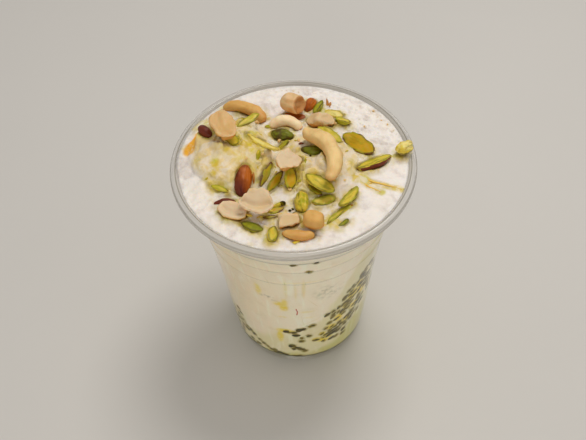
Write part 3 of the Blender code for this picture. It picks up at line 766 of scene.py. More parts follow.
def seed_places(settings):
    """Where the soaked seeds lie against the wall: a dense band at the right, a thin line along the foot,
    the ones that show in front, and clumps round the back."""
    places = [(math.radians(a), z * MM) for a, z in SEED_SPOTS]
    edges = layer_edges("basil_seed_layer")
    band = wall_path(SEED_BAND)
    swath = wall_path(SEED_SWATH)
    foot = wall_path(SEED_FOOT)
    draw = random.Random(41)
    taken = [wall_point(a, z, 0.0) for a, z in places]
    for _ in range(SEED_TRIES):
        angle = draw.uniform(0.0, math.tau)
        height = draw.uniform(*SEED_HEIGHTS)
        spot = wall_point(angle, height, 0.0)
        front = smooth_step(-spot.y, 0.016, 0.024) * smooth_step(-spot.x, -0.016, -0.006)
        clump = noise.noise(spot * 170.0) + 0.5 * noise.noise(spot * 420.0)
        aside = smooth_step(-spot.y, 0.003, 0.010) * smooth_step(spot.x, 0.004, 0.014)
        inside = in_layer(edges, angle, height, 0.0022) * smooth_step(clump, -0.15, 0.25)
        inside *= 1.0 - aside * (0.75 + 0.25 * smooth_step(height, 0.050, 0.060))
        dense = nearness(spot, band, 0.0022, 0.0040) * (0.15 + 0.85 * smooth_step(clump, -0.25, 0.10))
        dense = max(dense, nearness(spot, foot, 0.0006, 0.0014))
        dense = max(dense, 0.65 * nearness(spot, swath, 0.0045, 0.0080) * smooth_step(clump, -0.5, 0.1))
        if draw.random() > max(dense, inside * (0.75 - 0.70 * front)):
            continue
        gap = settings.seed_gap * (1.6 - 0.6 * dense)
        if any((spot - other).length < gap for other in taken):
            continue
        places.append((angle, height))
        taken.append(spot)
    return places, taken


def drink_material(settings):
    """Milk against the wall, warmer at the left, green and yellow under the seeds, stained with syrup."""
    finish = food_finish("falooda_milk", 0.42, 0.25, 0.002, 0.08)
    cloudy = finish.noise(0.009, 4.0, 0.55, 0.4)
    streak = finish.noise(0.0035, 3.0, 0.5, 0.6, finish.stretched((1.0, 1.0, 0.18)))
    colour = finish.coat(settings.milk, settings.tan, "warm")
    colour = finish.coat(colour, settings.base, "base")
    colour = finish.coat(colour, scaled(settings.milk, 1.22), finish.band(streak, 0.5, 0.72), 0.45)
    dull = scaled(settings.tan, 0.84, 0.86, 0.80)
    colour = finish.coat(colour, dull, finish.band(cloudy, 0.5, 0.8), 0.5)
    murky = finish.band(finish.noise(0.0022, 4.0, 0.6), 0.42, 0.62)
    colour = finish.coat(colour, settings.murk, "murk", murky, 0.7)
    clotted = finish.band(finish.noise(0.0026, 3.0), 0.30, 0.52)
    colour = finish.coat(colour, settings.gel, "gel", clotted, 0.95)
    stained = finish.band(finish.noise(0.0016, 3.0), 0.22, 0.5)
    colour = finish.coat(colour, settings.stain, "stain", stained, 0.9)
    finish.drive("Base Color", colour)
    finish.bump(cloudy, 0.0001, 0.4)
    return finish.material


def spot_share(spots, angle, height):
    """How far inside the nearest of some oval spots on the wall a point lies, 0 to 1."""
    share = 0.0
    for turn, middle, wide, tall, strength in spots:
        aside = (math.degrees(angle) - turn) * math.radians(1.0) * inner_radius(height)
        far = math.hypot(aside / (wide * MM), (height - middle * MM) / (tall * MM))
        share = max(share, strength * (1.0 - smooth_step(far, 0.35, 1.25)))
    return share


def drink_outline():
    """The drink's outline as radius and height, from the middle of the floor up the wall to the cream."""
    top = CREAM_BOTTOM + 0.0002
    outline = [(INNER_RADII[0] * ring / 12, FLOOR - INTO_WALL) for ring in range(12)]
    for row in range(DRINK_ROWS + 1):
        height = FLOOR + (top - FLOOR) * row / DRINK_ROWS
        outline.append((inner_radius(height) + INTO_WALL, height))
    outline += [(inner_radius(CREAM_BOTTOM) * (1 - ring / 6), top) for ring in range(1, 6)]
    return outline + [(0.0, top)]


def make_drink(settings):
    """The drink as one skin that reaches just into the wall, coloured by layer."""
    places, taken = seed_places(settings)
    seed_tree = KDTree(len(taken))
    for index, spot in enumerate(taken):
        seed_tree.insert(spot, index)
    seed_tree.balance()
    seed_edges = layer_edges("basil_seed_layer")
    mesh = turned_mesh("milk_drink", drink_outline(), DRINK_TURNS, round_place)
    marks = {name: [] for name in ("warm", "base", "gel", "stain", "murk")}
    for x, y, z in points_of(mesh):
        angle = math.atan2(y, x)
        level = z + 0.004 * noise.noise(Vector((x, y, z)) * 110.0)
        marks["warm"].append(smooth_step(-x, -0.004, 0.032) * (0.55 + 0.45 * smooth_step(z, 0.0, 0.05)))
        lower, upper = edge_at(seed_edges, angle)
        below = smooth_step(-level, -(lower + 0.006), -(lower - 0.004)) if upper > 0.0 else 0.0
        marks["base"].append(max(below, 0.45 * in_layer(seed_edges, angle, level, 0.004)))
        marks["gel"].append(1.0 - smooth_step(seed_tree.find((x, y, z))[2], 0.0009, 0.0023))
        marks["stain"].append(spot_share(STAIN_SPOTS, angle, z))
        marks["murk"].append(spot_share(MURK_SPOTS, angle, z))
    for name, values in marks.items():
        set_values(mesh, name, values)
    nodes = ("milk_layer", "basil_seed_layer", "base_layer")
    add_piece("milk_drink", mesh, drink_material(settings), "milk", *nodes)
    make_seeds(settings, places)


def seed_material(settings):
    """Soaked basil seed, dark olive, paler here and there where its gel is thick."""
    finish = Finish("soaked_basil_seed", Roughness=0.5, Specular_IOR_Level=0.05)
    grain = finish.noise(0.0019, 3.0, 0.6)
    pale = finish.sum("ADD", finish.band(grain, 0.40, 0.70, -0.25, 0.6), "shade")
    finish.drive("Base Color", finish.coat(settings.seed, scaled(settings.seed, 7.0), pale))
    finish.bump(grain, 0.00005, 0.5)
    return finish.material


def make_seeds(settings, places):
    """The soaked seeds, ovals pressed flat against the wall, slanting alike in the band at the right."""
    draw = random.Random(17)
    ball, faces = unit_ball(2)
    ball[:, 2] = numpy.sign(ball[:, 2]) * abs(ball[:, 2]) ** 0.35
    shapes = []
    shades = []
    for angle, height in places:
        shades.extend([draw.random() ** 1.6] * len(ball))
        size = settings.seed_length * 0.5 * draw.uniform(0.5, 1.25)
        turn = draw.gauss(0.35, 0.55)
        band = smooth_step(math.cos(angle - BAND_MIDDLE), 0.86, 0.94)
        turn += band * (BAND_SLANT - turn) * 0.7
        size *= 1.0 + 0.15 * band
        slim = draw.uniform(0.42, 0.68) * (1.0 - 0.2 * band)
        outward = outward_at(angle)
        along = Vector((-outward.y, outward.x, 0.0))
        long_way = (along * math.cos(turn) + UP * math.sin(turn)) * size
        short_way = (UP * math.cos(turn) - along * math.sin(turn)) * size * slim
        centre = wall_point(angle, height, SEED_HALF_THICK - SEED_INTO_WALL)
        ways = numpy.array([long_way, short_way, outward * SEED_HALF_THICK])
        shapes.append((ball @ ways + numpy.array(centre), faces))
    mesh = joined_mesh("basil_seeds", shapes)
    set_values(mesh, "shade", shades)
    add_piece("basil_seeds", mesh, seed_material(settings), "basil_seeds", "basil_seed_layer")


def noodle_material(settings):
    """Boiled vermicelli, glossy and slightly see-through, stained by the syrup here and there."""
    finish = food_finish("boiled_vermicelli", 0.3, 0.4, 0.001)
    stained = scaled(settings.noodle, 0.90, 0.84, 0.55)
    patches = finish.band(finish.noise(0.011, 2.0), 0.45, 0.62)
    finish.drive("Base Color", finish.coat(settings.noodle, stained, patches))
    finish.bump(finish.noise(0.0006, 2.0), 0.00003, 0.4)
    return finish.material


def noodle_shape(angle, height, length, lean, bow, radius):
    """One strand that lies against the wall, its ends sunk into the drink."""
    steps = 14
    centres = []
    radii = []
    for step in range(steps + 1):
        share = step / steps - 0.5
        rise = min(max(height + share * length, FLOOR + 0.004), CREAM_BOTTOM - 0.002)
        turn = angle + lean * share * 0.22 + bow * (share * share * 4.0 - 1.0) * 0.5
        sink = radius * 0.9 + 0.0006 * smooth_step(abs(share), 0.3, 0.5)
        centres.append(wall_point(turn, rise, sink - 0.00004))
        radii.append(radius * (1.0 - 0.5 * smooth_step(abs(share), 0.46, 0.5)))
    return tube(centres, radii, 8)


def thread_material(settings):
    """Soaked saffron, paler here and there."""
    finish = Finish("saffron_thread", Roughness=0.4)
    patches = finish.band(finish.noise(0.0015, 2.0), 0.4, 0.6)
    finish.drive("Base Color", finish.coat(settings.thread, scaled(settings.thread, 1.5), patches))
    return finish.material


def make_noodles(settings):
    """Strands of vermicelli that lie against the wall all round, mostly upright, and a thread of saffron."""
    draw = random.Random(5)
    edges = layer_edges("basil_seed_layer")
    half = settings.noodle_width * 0.5
    shapes = [
        noodle_shape(math.radians(turn), height * MM, length * MM, lean, 0.0, half)
        for turn, height, length, lean in NOODLE_SPOTS
    ]
    while len(shapes) < NOODLE_COUNT:
        angle = draw.uniform(0.0, math.tau)
        height = draw.uniform(*NOODLE_HEIGHTS)
        front = math.sin(angle) < -0.8
        if front or in_layer(edges, angle, height, 0.002) > 0.2 and draw.random() < 0.8:
            if draw.random() < 0.7:
                continue
        lean = draw.uniform(-1.0, 1.0)
        length = draw.uniform(*NOODLE_LENGTHS)
        bow = draw.uniform(-0.12, 0.12)
        shapes.append(noodle_shape(angle, height, length, lean, bow, half * draw.uniform(0.84, 1.1)))
    mesh = joined_mesh("vermicelli", shapes)
    add_piece("vermicelli", mesh, noodle_material(settings), "milk")
    centres = [point - point.normalized() * 0.0001 for point in wall_path(THREAD)]
    mesh = joined_mesh("saffron_thread", [tube(centres, [THREAD_RADIUS] * len(centres), 8)])
    add_piece("saffron_thread", mesh, thread_material(settings), "milk")


# The cream and the ice cream

CREAM_TURNS = 420
CREAM_RINGS = 150
CREAM_STEPS = 14
MOUND_CELL = 0.00042
# Where cream meets ice cream: how far it climbs, the reach of the rounding, and how deep a mound is sunk.
FILLET_RISE = 0.0018
FILLET_REACH = 0.0060
MOUND_SINK = 0.0009


def plain_cream_height(x, y):
    """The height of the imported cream."""
    radius = math.hypot(x, y)
    middle = 1.0 - min(1.0, radius / inner_radius(CREAM_LEVEL)) ** 2
    waves = CREAM_WAVE * math.sin(330.0 * x + 1.3) * math.sin(290.0 * y + 0.4)
    return CREAM_LEVEL + CREAM_RISE * middle + waves * min(1.0, 4.0 * middle)


def cream_relief(x, y, depth):
    """Swells, wrinkles that point in from the rim, and an icy, pitted patch at the back right."""
    place = Vector((x, y, 0.0))
    radius = math.hypot(x, y)
    angle = math.atan2(y, x)
    relief = 0.9 * noise.noise(place * 95.0) + 0.45 * noise.noise(place * 270.0 + Vector((3.0, 1.0, 0.0)))
    relief += 0.22 * noise.noise(place * 900.0) + 0.10 * noise.noise(place * 2100.0)
    outer = smooth_step(radius, 0.020, 0.036)
    left = smooth_step(-x, -0.012, 0.016)
    folds = 0.0
    for share, across, inward in ((1.0, 13.0, 130.0), (0.5, 31.0, 210.0)):
        fold = Vector((math.cos(angle) * across, math.sin(angle) * across, radius * inward))
        folds += share * noise.noise(fold)
    relief += outer * (0.35 + 0.85 * left) * (0.55 - 1.6 * abs(folds))
    icy = smooth_step(x + 0.4 * y, 0.006, 0.030) * smooth_step(y, -0.004, 0.012) * outer
    if icy > 0.0:
        pits = smooth_step(-noise.voronoi(place * 520.0)[0][0], -0.42, -0.10)
        relief -= icy * (1.5 * pits - 0.8 * noise.noise(place * 600.0))
    edge = inner_radius(CREAM_LEVEL)
    return relief * depth * smooth_step(-radius, -edge, 0.0014 - edge)


def surface_tree(*names):
    """A tree of pieces that were already made."""
    return tree_of(*(bpy.data.objects[name].data for name in names))


def nut_tree():
    """A tree of every packed nut."""
    return tree_of(*(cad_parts[node].data for kind in NUT_KINDS for node in nodes_named(kind)))


def nestled(point, nuts, reach):
    """How far soft cream rises at a point, to meet a nut that hangs just over it."""
    near, outward, _, gap = nuts.find_nearest(Vector(point), reach * 2.6)
    if near is None or (near - Vector(point)).dot(outward) > 0.0:
        return 0.0
    over = smooth_step((near.z - point[2]) / max(gap, WELD), 0.25, 0.75)
    rise = gap if gap < reach else reach * (1.0 - smooth_step(gap, reach, reach * 2.6))
    return (rise + 0.0003 * smooth_step(-gap, -reach * 1.5, -reach)) * (0.25 + 0.75 * over)


def mound_mesh(node, depth, nuts):
    """A mound of ice cream with soft lumps and a torn, frosty skin, pressed up round the nuts."""
    mesh = fine_copy(node, MOUND_CELL, 14)
    moved = []
    for point, normal in zip(points_of(mesh), normals_of(mesh)):
        place = Vector(point)
        lump = 2.2 * noise.noise(place * 105.0) + 0.9 * noise.noise(place * 300.0)
        lump += 0.4 * noise.noise(place * 900.0)
        lifted = point + normal * lump * depth
        lifted[2] += nestled(lifted, nuts, 0.0024)
        moved.append(lifted)
    move_points(mesh, moved)
    return mesh


# Places in millimetres, then the size and the strength of the mark.
SYRUP_SPOTS = (
    (-15.5, 3.0, 5.0, 1.0), (-12.0, -3.0, 4.0, 0.75), (-18.0, -5.0, 4.5, 0.6), (-20.0, -11.0, 3.4, 0.85),
    (-25.3, 0.5, 2.2, 0.8), (-30.2, -5.4, 2.2, 0.9), (-30.4, -8.8, 2.4, 0.9), (-34.0, -9.8, 1.8, 0.8),
    (-28.6, -14.0, 2.8, 0.75), (-36.1, 22.0, 5.5, 0.8), (-17.0, 10.5, 4.5, 0.8), (-32.0, 14.0, 3.6, 0.6),
    (-37.5, -1.5, 2.2, 0.7), (-20.5, 28.0, 4.0, 0.6), (-9.6, 18.5, 3.6, 0.5), (-11.2, 30.5, 2.5, 0.4),
    (-7.0, -24.0, 3.4, 0.7), (-2.0, 3.0, 4.5, 0.55), (4.8, -8.2, 1.4, 0.8), (5.2, -5.6, 1.1, 0.8),
    (14.8, -14.9, 3.0, 0.6), (-2.5, -6.0, 4.5, 0.6), (0.0, -13.0, 4.0, 0.5), (22.1, 20.3, 4.0, 0.5),
    (24.5, -5.0, 3.6, 0.6), (26.6, -9.5, 3.2, 0.5), (15.3, -24.0, 3.0, 0.35), (17.0, -29.0, 2.6, 0.5),
    (-17.3, -41.9, 1.8, 0.3), (-0.5, -42.4, 1.6, 0.5), (-8.0, -36.5, 2.4, 0.3), (8.0, 9.0, 4.0, 0.5),
    (8.0, -26.5, 4.0, 0.7), (13.0, -30.0, 3.0, 0.5), (20.5, -23.0, 3.2, 0.5), (-23.0, 2.0, 7.5, 0.5),
    (-26.0, 9.5, 4.5, 0.45), (-34.5, 19.6, 3.0, 0.9), (12.0, 24.0, 4.0, 0.5), (-43.6, 9.5, 1.6, 0.6),
)
SPECK_SPOTS = (
    (39.7, 18.4, 1.3, 0.9), (37.2, 20.9, 1.0, 0.7), (40.8, 15.4, 1.2, 0.8), (33.7, 26.4, 1.6, 0.7),
    (30.1, 17.6, 1.0, 0.4), (29.0, 30.0, 1.4, 0.5), (36.0, 24.0, 1.3, 0.5), (3.6, 40.8, 1.4, 0.8),
    (-3.6, 42.6, 1.0, 1.0), (-1.4, 42.2, 0.8, 1.0), (1.6, 42.0, 0.8, 0.9), (-5.6, 41.6, 0.8, 0.7),
)
ORANGE_STREAK = ((-36.6, 18.4), (-39.4, 13.6), (-41.0, 9.4), (-41.2, 6.6))
STRANDS = (
    ((22.0, -10.6), (27.5, -14.8), (33.0, -18.8)),
    ((24.6, -10.4), (32.0, -14.4), (41.0, -17.8)),
    ((23.4, -13.4), (26.5, -13.0), (29.9, -13.8)),
)


def path_distance(x, y, corners):
    """How far a point is from a line through these corners, given in millimetres."""
    point = Vector((x, y))
    best = 1.0
    for (x0, y0), (x1, y1) in zip(corners, corners[1:]):
        start = Vector((x0 * MM, y0 * MM))
        run = Vector((x1 * MM, y1 * MM)) - start
        share = min(1.0, max(0.0, (point - start).dot(run) / run.length_squared))
        best = min(best, (point - start - run * share).length)
    return best


def spots_at(x, y, spots, ragged):
    """The strongest mark that some ragged round spots leave at a point."""
    strongest = 0.0
    for spot_x, spot_y, size, strength in spots:
        far = math.hypot(x - spot_x * MM, y - spot_y * MM) / (size * MM)
        strongest = max(strongest, strength * (1.0 - smooth_step(far + ragged, 0.35, 1.25)))
    return strongest


def syrup_at(x, y):
    """How much yellow syrup, orange syrup and toasted dust lie at a point."""
    place = Vector((x, y, 0.0))
    ragged = 0.7 * noise.noise(place * 190.0) + 0.3 * noise.noise(place * 480.0)
    yellow = spots_at(x, y, SYRUP_SPOTS, ragged)
    for strand in STRANDS:
        aside = path_distance(x, y, strand)
        yellow = max(yellow, 0.95 * (1.0 - smooth_step(aside + 0.0007 * ragged, 0.0007, 0.0021)))
    aside = path_distance(x, y, ORANGE_STREAK)
    wide = 0.0007 + 0.0021 * smooth_step(-y, -0.015, -0.007)
    orange = 1.0 - smooth_step(aside + 0.0007 * ragged, wide * 0.6, wide * 1.3)
    return yellow, orange, spots_at(x, y, SPECK_SPOTS, ragged)


def pooled(point, nuts):
    """How much syrup has pooled at a point beside a nut, and how much painted contact shadow, tinted like dark
    syrup, lies there in patches close to the nut.
    """
    near, _, _, gap = nuts.find_nearest(point, 0.0040)
    if near is None:
        return 0.0, 0.0
    patchy = smooth_step(noise.noise(point * 140.0) + 0.4 * noise.noise(point * 480.0), -0.55, 0.15)
    # Painted contact shadow: darker in noisy patches where the gap to the nut is under about a millimetre.
    dark = smooth_step(noise.noise(point * 230.0 + Vector((7.0, 2.0, 0.0))), -0.30, 0.25)
    dark *= 1.0 - smooth_step(gap, 0.0002, 0.0015)
    return 0.95 * patchy * (1.0 - smooth_step(gap, 0.0003, 0.0038)), dark


def mark_cream(mesh, level, strength, nuts):
    """Keeps on a mesh how much of each syrup lies on it above a level, and the painted contact shadow beside
    the nuts.
    """
    points = points_of(mesh)
    marks = numpy.array([syrup_at(x, y) if z > level else (0.0, 0.0, 0.0) for x, y, z in points])
    pools = numpy.array([pooled(Vector(p), nuts) if p[2] > level else (0.0, 0.0) for p in points])
    set_values(mesh, "yellow", numpy.maximum(marks[:, 0], pools[:, 0]) * strength)
    set_values(mesh, "dark", pools[:, 1])
    set_values(mesh, "orange", marks[:, 1])
    set_values(mesh, "speck", marks[:, 2])
    set_values(mesh, "rise", [smooth_step(z - CREAM_LEVEL, 0.0014, 0.0050) for x, y, z in points])


def cream_material(name, settings):
    """Whipped cream that turns into ice cream where it rises, faintly see-through, with soaked-in syrup,
    painted shade in soft patches and painted contact shadow beside the nuts.
    """
    finish = food_finish(name, 0.5, 0.35, 0.003, 0.35)
    finish.shader.inputs["Subsurface Radius"].default_value = (1.0, 0.82, 0.6)
    # Painted shade: soft patches laid by noise darken the cream towards its shade colour.
    soft = finish.noise(0.005, 4.0, 0.6, 0.3)
    colour = finish.coat(settings.cream, settings.shade, finish.band(soft, 0.42, 0.75))
    warm = finish.band(finish.noise(0.018, 2.0), 0.45, 0.7)
    colour = finish.coat(colour, scaled(settings.cream, 1.0, 0.97, 0.90), warm, 0.6)
    creamy = finish.band(finish.noise(0.0050, 3.0, 0.6, 0.6), 0.42, 0.60, 1.0, 0.45)
    colour = finish.coat(colour, settings.ice, "rise", creamy)
    greener = finish.band(finish.noise(0.006, 2.0), 0.45, 0.65)
    syrup = finish.coat(settings.syrup, scaled(settings.syrup, 0.90, 1.06, 1.1), greener)
    ragged = finish.band(finish.noise(0.0034, 3.0, 0.55, 0.5), 0.34, 0.60, 0.35, 1.0)
    colour = finish.coat(colour, syrup, "yellow", ragged)
    # Painted contact shadow beside the nuts, tinted like dark syrup.
    colour = finish.coat(colour, scaled(settings.syrup, 0.42, 0.40, 0.8), "dark", 0.75)
    stirred = finish.band(finish.noise(0.0017, 3.0), 0.3, 0.5, 0.55, 1.0)
    colour = finish.coat(colour, settings.orange, "orange", stirred)
    dust = finish.band(finish.noise(0.0011, 3.0, 0.6), 0.42, 0.6)
    colour = finish.coat(colour, settings.speck, "speck", dust)
    finish.drive("Base Color", finish.coat(colour, settings.wall, "wall"))
    froth = finish.sum("ADD", finish.noise(0.00045, 3.0, 0.6), finish.times(finish.cells(0.0007), 0.6))
    finish.bump(froth, 0.00014, 0.7)
    return finish.material


def fillet_at(gap):
    """How far the cream climbs beside a mound, less where a nut is that near."""
    return FILLET_RISE * (smooth_step(gap, 0.0008, 0.0045) if gap is not None else 1.0)


def cream_level(x, y, depth, mounds, nuts):
    """The height of the cream at a point: its relief, a fillet to each mound, raised to meet the nuts over it
    and kept under those that reach below it."""
    level = plain_cream_height(x, y) + cream_relief(x, y, depth)
    fillet = fillet_at(nuts.find_nearest(Vector((x, y, level)), 0.0050)[3])
    for mound in mounds:
        hit = landing(mound, x, y)[0]
        if hit is not None:
            level = smooth_peak(level + fillet, hit.z - MOUND_SINK, FILLET_REACH)
        else:
            beside = mound.find_nearest(Vector((x, y, level)))[3]
            level += fillet * (1.0 - smooth_step(beside, 0.0, 0.0075))
    level += nestled((x, y, level), nuts, 0.0012)
    roof = nuts.ray_cast(Vector((x, y, CREAM_BOTTOM)), -DOWN)[0]
    if roof is not None:
        level = min(level, max(roof.z + 0.0002, plain_cream_height(x, y) - 0.0008))
    return level


def make_cream(settings):
    """The cream, with its mounds of ice cream rising out of it in a soft fillet."""
    mounds = []
    nuts = nut_tree()
    for side in ("left", "middle"):
        node = "ice_cream_scoop_" + side
        mesh = mound_mesh(node, settings.relief, nuts)
        mounds.append(tree_of(mesh))
        mark_cream(mesh, 0.0, 1.0, nuts)
        material = cream_material("ice_cream_" + side, settings)
        add_piece("ice_cream_" + side, mesh, material, "ice_cream", node)
    top_radius = inner_radius(CREAM_LEVEL) + INTO_WALL

    def place(radius, height, angle):
        x, y, z = round_place(radius, height, angle)
        if height < CREAM_LEVEL:
            return (x, y, z)
        level = cream_level(x, y, settings.relief, mounds, nuts)
        fit = (inner_radius(level) + INTO_WALL) / radius if radius > top_radius - 0.0004 else 1.0
        return (x * fit, y * fit, level)

    outline = [(inner_radius(CREAM_BOTTOM) * step / 5, CREAM_BOTTOM) for step in range(5)]
    for step in range(CREAM_STEPS):
        height = CREAM_BOTTOM + (CREAM_LEVEL - 0.0006 - CREAM_BOTTOM) * step / (CREAM_STEPS - 1)
        outline.append((inner_radius(height) + INTO_WALL, height))
    outline += [(top_radius * (1 - ring / CREAM_RINGS), CREAM_LEVEL) for ring in range(CREAM_RINGS)]
    outline.append((0.0, CREAM_LEVEL))
    mesh = turned_mesh("cream", outline, CREAM_TURNS, place)
    mark_cream(mesh, CREAM_LEVEL - 0.001, 0.9, nuts)
    set_values(mesh, "wall", [smooth_step(-z, -0.1000, -0.0975) for x, y, z in points_of(mesh)])
    add_piece("cream", mesh, cream_material("whipped_cream", settings), "cream", "cream_top")


STRAND_RADIUS = 0.00036
STRAND_STEPS = 22
# Places in millimetres and the radius of each seed.
SEEDS = (
    (-4.8, -23.4, 1.0), (-2.2, -26.6, 0.5), (-0.6, -28.2, 0.5), (0.6, -27.0, 0.45), (-1.0, -26.2, 0.4),
    (6.8, -3.4, 0.4),
)


def saffron_material(settings):
    """Wet saffron-yellow strands, redder in patches."""
    finish = food_finish("saffron_strand", 0.35, 0.2, 0.001)
    patches = finish.band(finish.noise(0.0016, 3.0), 0.45, 0.75)
    deep = scaled(settings.saffron, 0.84, 0.72, 0.55)
    finish.drive("Base Color", finish.coat(settings.saffron, deep, patches))
    finish.bump(finish.noise(0.0004, 2.0), 0.00005, 0.6)
    return finish.material


def strand_shape(start, middle, end):
    """One strand of saffron that lies on the cream, bent through its middle and thinner at its ends."""
    centres = []
    radii = []
    for step in range(STRAND_STEPS + 1):
        share = step / STRAND_STEPS
        x, y = (
            (a * (1 - share) ** 2 + 2 * b * share * (1 - share) + c * share ** 2) * MM
            for a, b, c in zip(start, middle, end)
        )
        x += 0.0005 * noise.noise(Vector((share * 4.0, start[0], 1.0)))
        y += 0.0008 * noise.noise(Vector((share * 4.0, start[1], 5.0)))
        radius = STRAND_RADIUS * (0.45 + 0.55 * math.sin(math.pi * min(1.0, 0.15 + share)) ** 0.5)
        radii.append(radius)
        centres.append(Vector((x, y, plain_cream_height(x, y) + radius * 0.55)))
    return tube(centres, radii, 10, 0.7)


def make_saffron(settings, drink):
    """The strands and the few seeds that lie on the cream."""
    mesh = joined_mesh("saffron_strands", [strand_shape(*strand) for strand in STRANDS])
    add_piece("saffron_strands", mesh, saffron_material(settings), "cream", "cream_top")
    ball, faces = unit_ball(3)
    ball *= (1.25, 1.0, 0.9)
    shapes = []
    tree = surface_tree("cream", "ice_cream_middle")
    for x, y, size in SEEDS:
        centre = landing(tree, x * MM, y * MM)[0]
        centre.z += size * MM * 0.3
        shapes.append((ball * size * MM + numpy.array(centre), faces))
    mesh = joined_mesh("seeds_on_cream", shapes)
    set_values(mesh, "shade", [0.2] * len(mesh.vertices))
    add_piece("seeds_on_cream", mesh, seed_material(drink), "basil_seeds", "cream_top")


# The nuts


def nut_directions(points):
    """The middle of a nut, and its own directions with the longest first."""
    middle = points.mean(axis=0)
    axes = numpy.linalg.eigh(numpy.cov((points - middle).T))[1][:, ::-1].T
    if axes[0][1] < 0.0:
        axes[0] *= -1.0
    if axes[2][2] < 0.0:
        axes[2] *= -1.0
    axes[1] = numpy.cross(axes[2], axes[0])
    return middle, axes


def flat_faces(node, least):
    """The flat faces of a packed nut that hold at least that share of its skin, as normal and distance."""
    mesh = welded(node)
    mesh.normal_update()
    normals = numpy.array([face.normal for face in mesh.faces])
    middles = numpy.array([face.calc_center_median() for face in mesh.faces])
    areas = numpy.array([face.calc_area() for face in mesh.faces])
    mesh.free()
    offsets = (normals * middles).sum(axis=1)
    used = numpy.zeros(len(areas), dtype=bool)
    found = []
    for index in numpy.argsort(-areas):
        if used[index]:
            continue
        alike = (normals @ normals[index] > 0.998) & (abs(offsets - offsets[index]) < 0.00006) & ~used
        used |= alike
        if areas[alike].sum() > least * areas.sum():
            found.append((normals[index], offsets[index]))
    return found


def cut_share(node, points, normals, least):
    """1 for each point that lies on a cut face of a packed nut, less where it turns away, 0 elsewhere."""
    cut = numpy.zeros(len(points))
    for normal, offset in flat_faces(node, least):
        near = abs(points @ normal - offset) < 0.0005
        facing = numpy.clip((normals @ normal - 0.72) / 0.22, 0.0, 1.0)
        cut = numpy.maximum(cut, facing * near)
    return cut


def inward_of(points, cut):
    """How far each point of a cut face is from the skin round it, 0 on the skin."""
    outside = KDTree(int((cut < 0.5).sum()))
    for index in numpy.nonzero(cut < 0.5)[0]:
        outside.insert(points[index], int(index))
    outside.balance()
    return [outside.find(p)[2] if c >= 0.5 else 0.0 for p, c in zip(points, cut)]


def nut_mesh(node, cell, rounds, relief, least):
    """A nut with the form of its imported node. It keeps where its cut faces are, how far a point is from
    their edge, how far along the nut it is, and its place in the nut's own directions."""
    mesh = fine_copy(node, cell, rounds)
    points = points_of(mesh)
    normals = normals_of(mesh)
    cut = cut_share(node, points, normals, least)
    edge = inward_of(points, cut)
    middle, axes = nut_directions(points)
    own = (points - middle) @ axes.T
    half = abs(own).max(axis=0)
    shift = Vector(middle) * 37.0
    groove = GROOVES.get(node, 0.0) * MM
    hollow = HOLLOWS.get(node, 0.0) * MM
    chips = CHIP_DEPTH if node in CHIPPED else 0.0
    moved = []
    for point, normal, place, share, inward in zip(points, normals, own, cut, edge):
        rise = relief(Vector(place), shift, share)
        bow = place[1] / half[1] - 0.30 + 0.55 * (place[0] / half[0]) ** 2
        rise -= groove * share * math.exp(-((bow / 0.22) ** 2)) * smooth_step(inward, 0.0004, 0.0016)
        rise -= hollow * smooth_step(inward, 0.0006, 0.0024)
        if chips and inward < 0.0006:
            near, far = noise.voronoi(Vector(place) * 300.0 + shift)[0][:2]
            rise -= chips * (1.0 - smooth_step(far - near, 0.0, 0.6))
        moved.append(point + normal * rise)
    move_points(mesh, moved)
    set_values(mesh, "cut", cut)
    set_values(mesh, "edge", edge)
    # How far along the nut a point lies, which the almond's painted light and shade follow.
    set_values(mesh, "along", own[:, 0] / half[0] - 1.1 * own[:, 1] / half[1])
    # How far the skin faces down, which the materials use for painted shade below and a painted highlight on
    # top.
    set_values(mesh, "under", numpy.clip(0.5 - 0.5 * normals[:, 2], 0.0, 1.0))
    set_places(mesh, "own", own + middle * 3.0)
    return mesh


def drawn_out(place, along, across):
    """A place in a nut's own directions, scaled for noise that runs lengthwise."""
    return Vector((place.x * along, place.y * across, place.z * across))


def cashew_relief(place, shift, cut):
    """Shallow dents and lengthwise creases of a cashew, stepped a little where it broke."""
    soft = 0.00060 * noise.noise(place * 150.0 + shift) + 0.00026 * noise.noise(place * 400.0 + shift)
    crease = 0.00009 * noise.noise(drawn_out(place, 260.0, 900.0) + shift)
    torn = 0.00013 * smooth_step(noise.noise(place * 300.0 + shift), 0.05, 0.2) * cut
    return soft + crease + torn


def pistachio_relief(place, shift, cut):
    """Lengthwise wrinkles of a pistachio kernel, shallow on its cut face."""
    wrinkle = 0.00016 * noise.noise(drawn_out(place, 180.0, 1200.0) + shift) * (1.0 - 0.6 * cut)
    dent = 0.00045 * noise.noise(place * 300.0 + shift)
    return wrinkle + dent


def almond_relief(place, shift, cut):
    """The long, sharp wrinkles of almond skin."""
    wrinkle = 1.0 - 2.0 * abs(noise.noise(drawn_out(place, 130.0, 1000.0) + shift))
    return 0.00018 * wrinkle * (1.0 - cut)


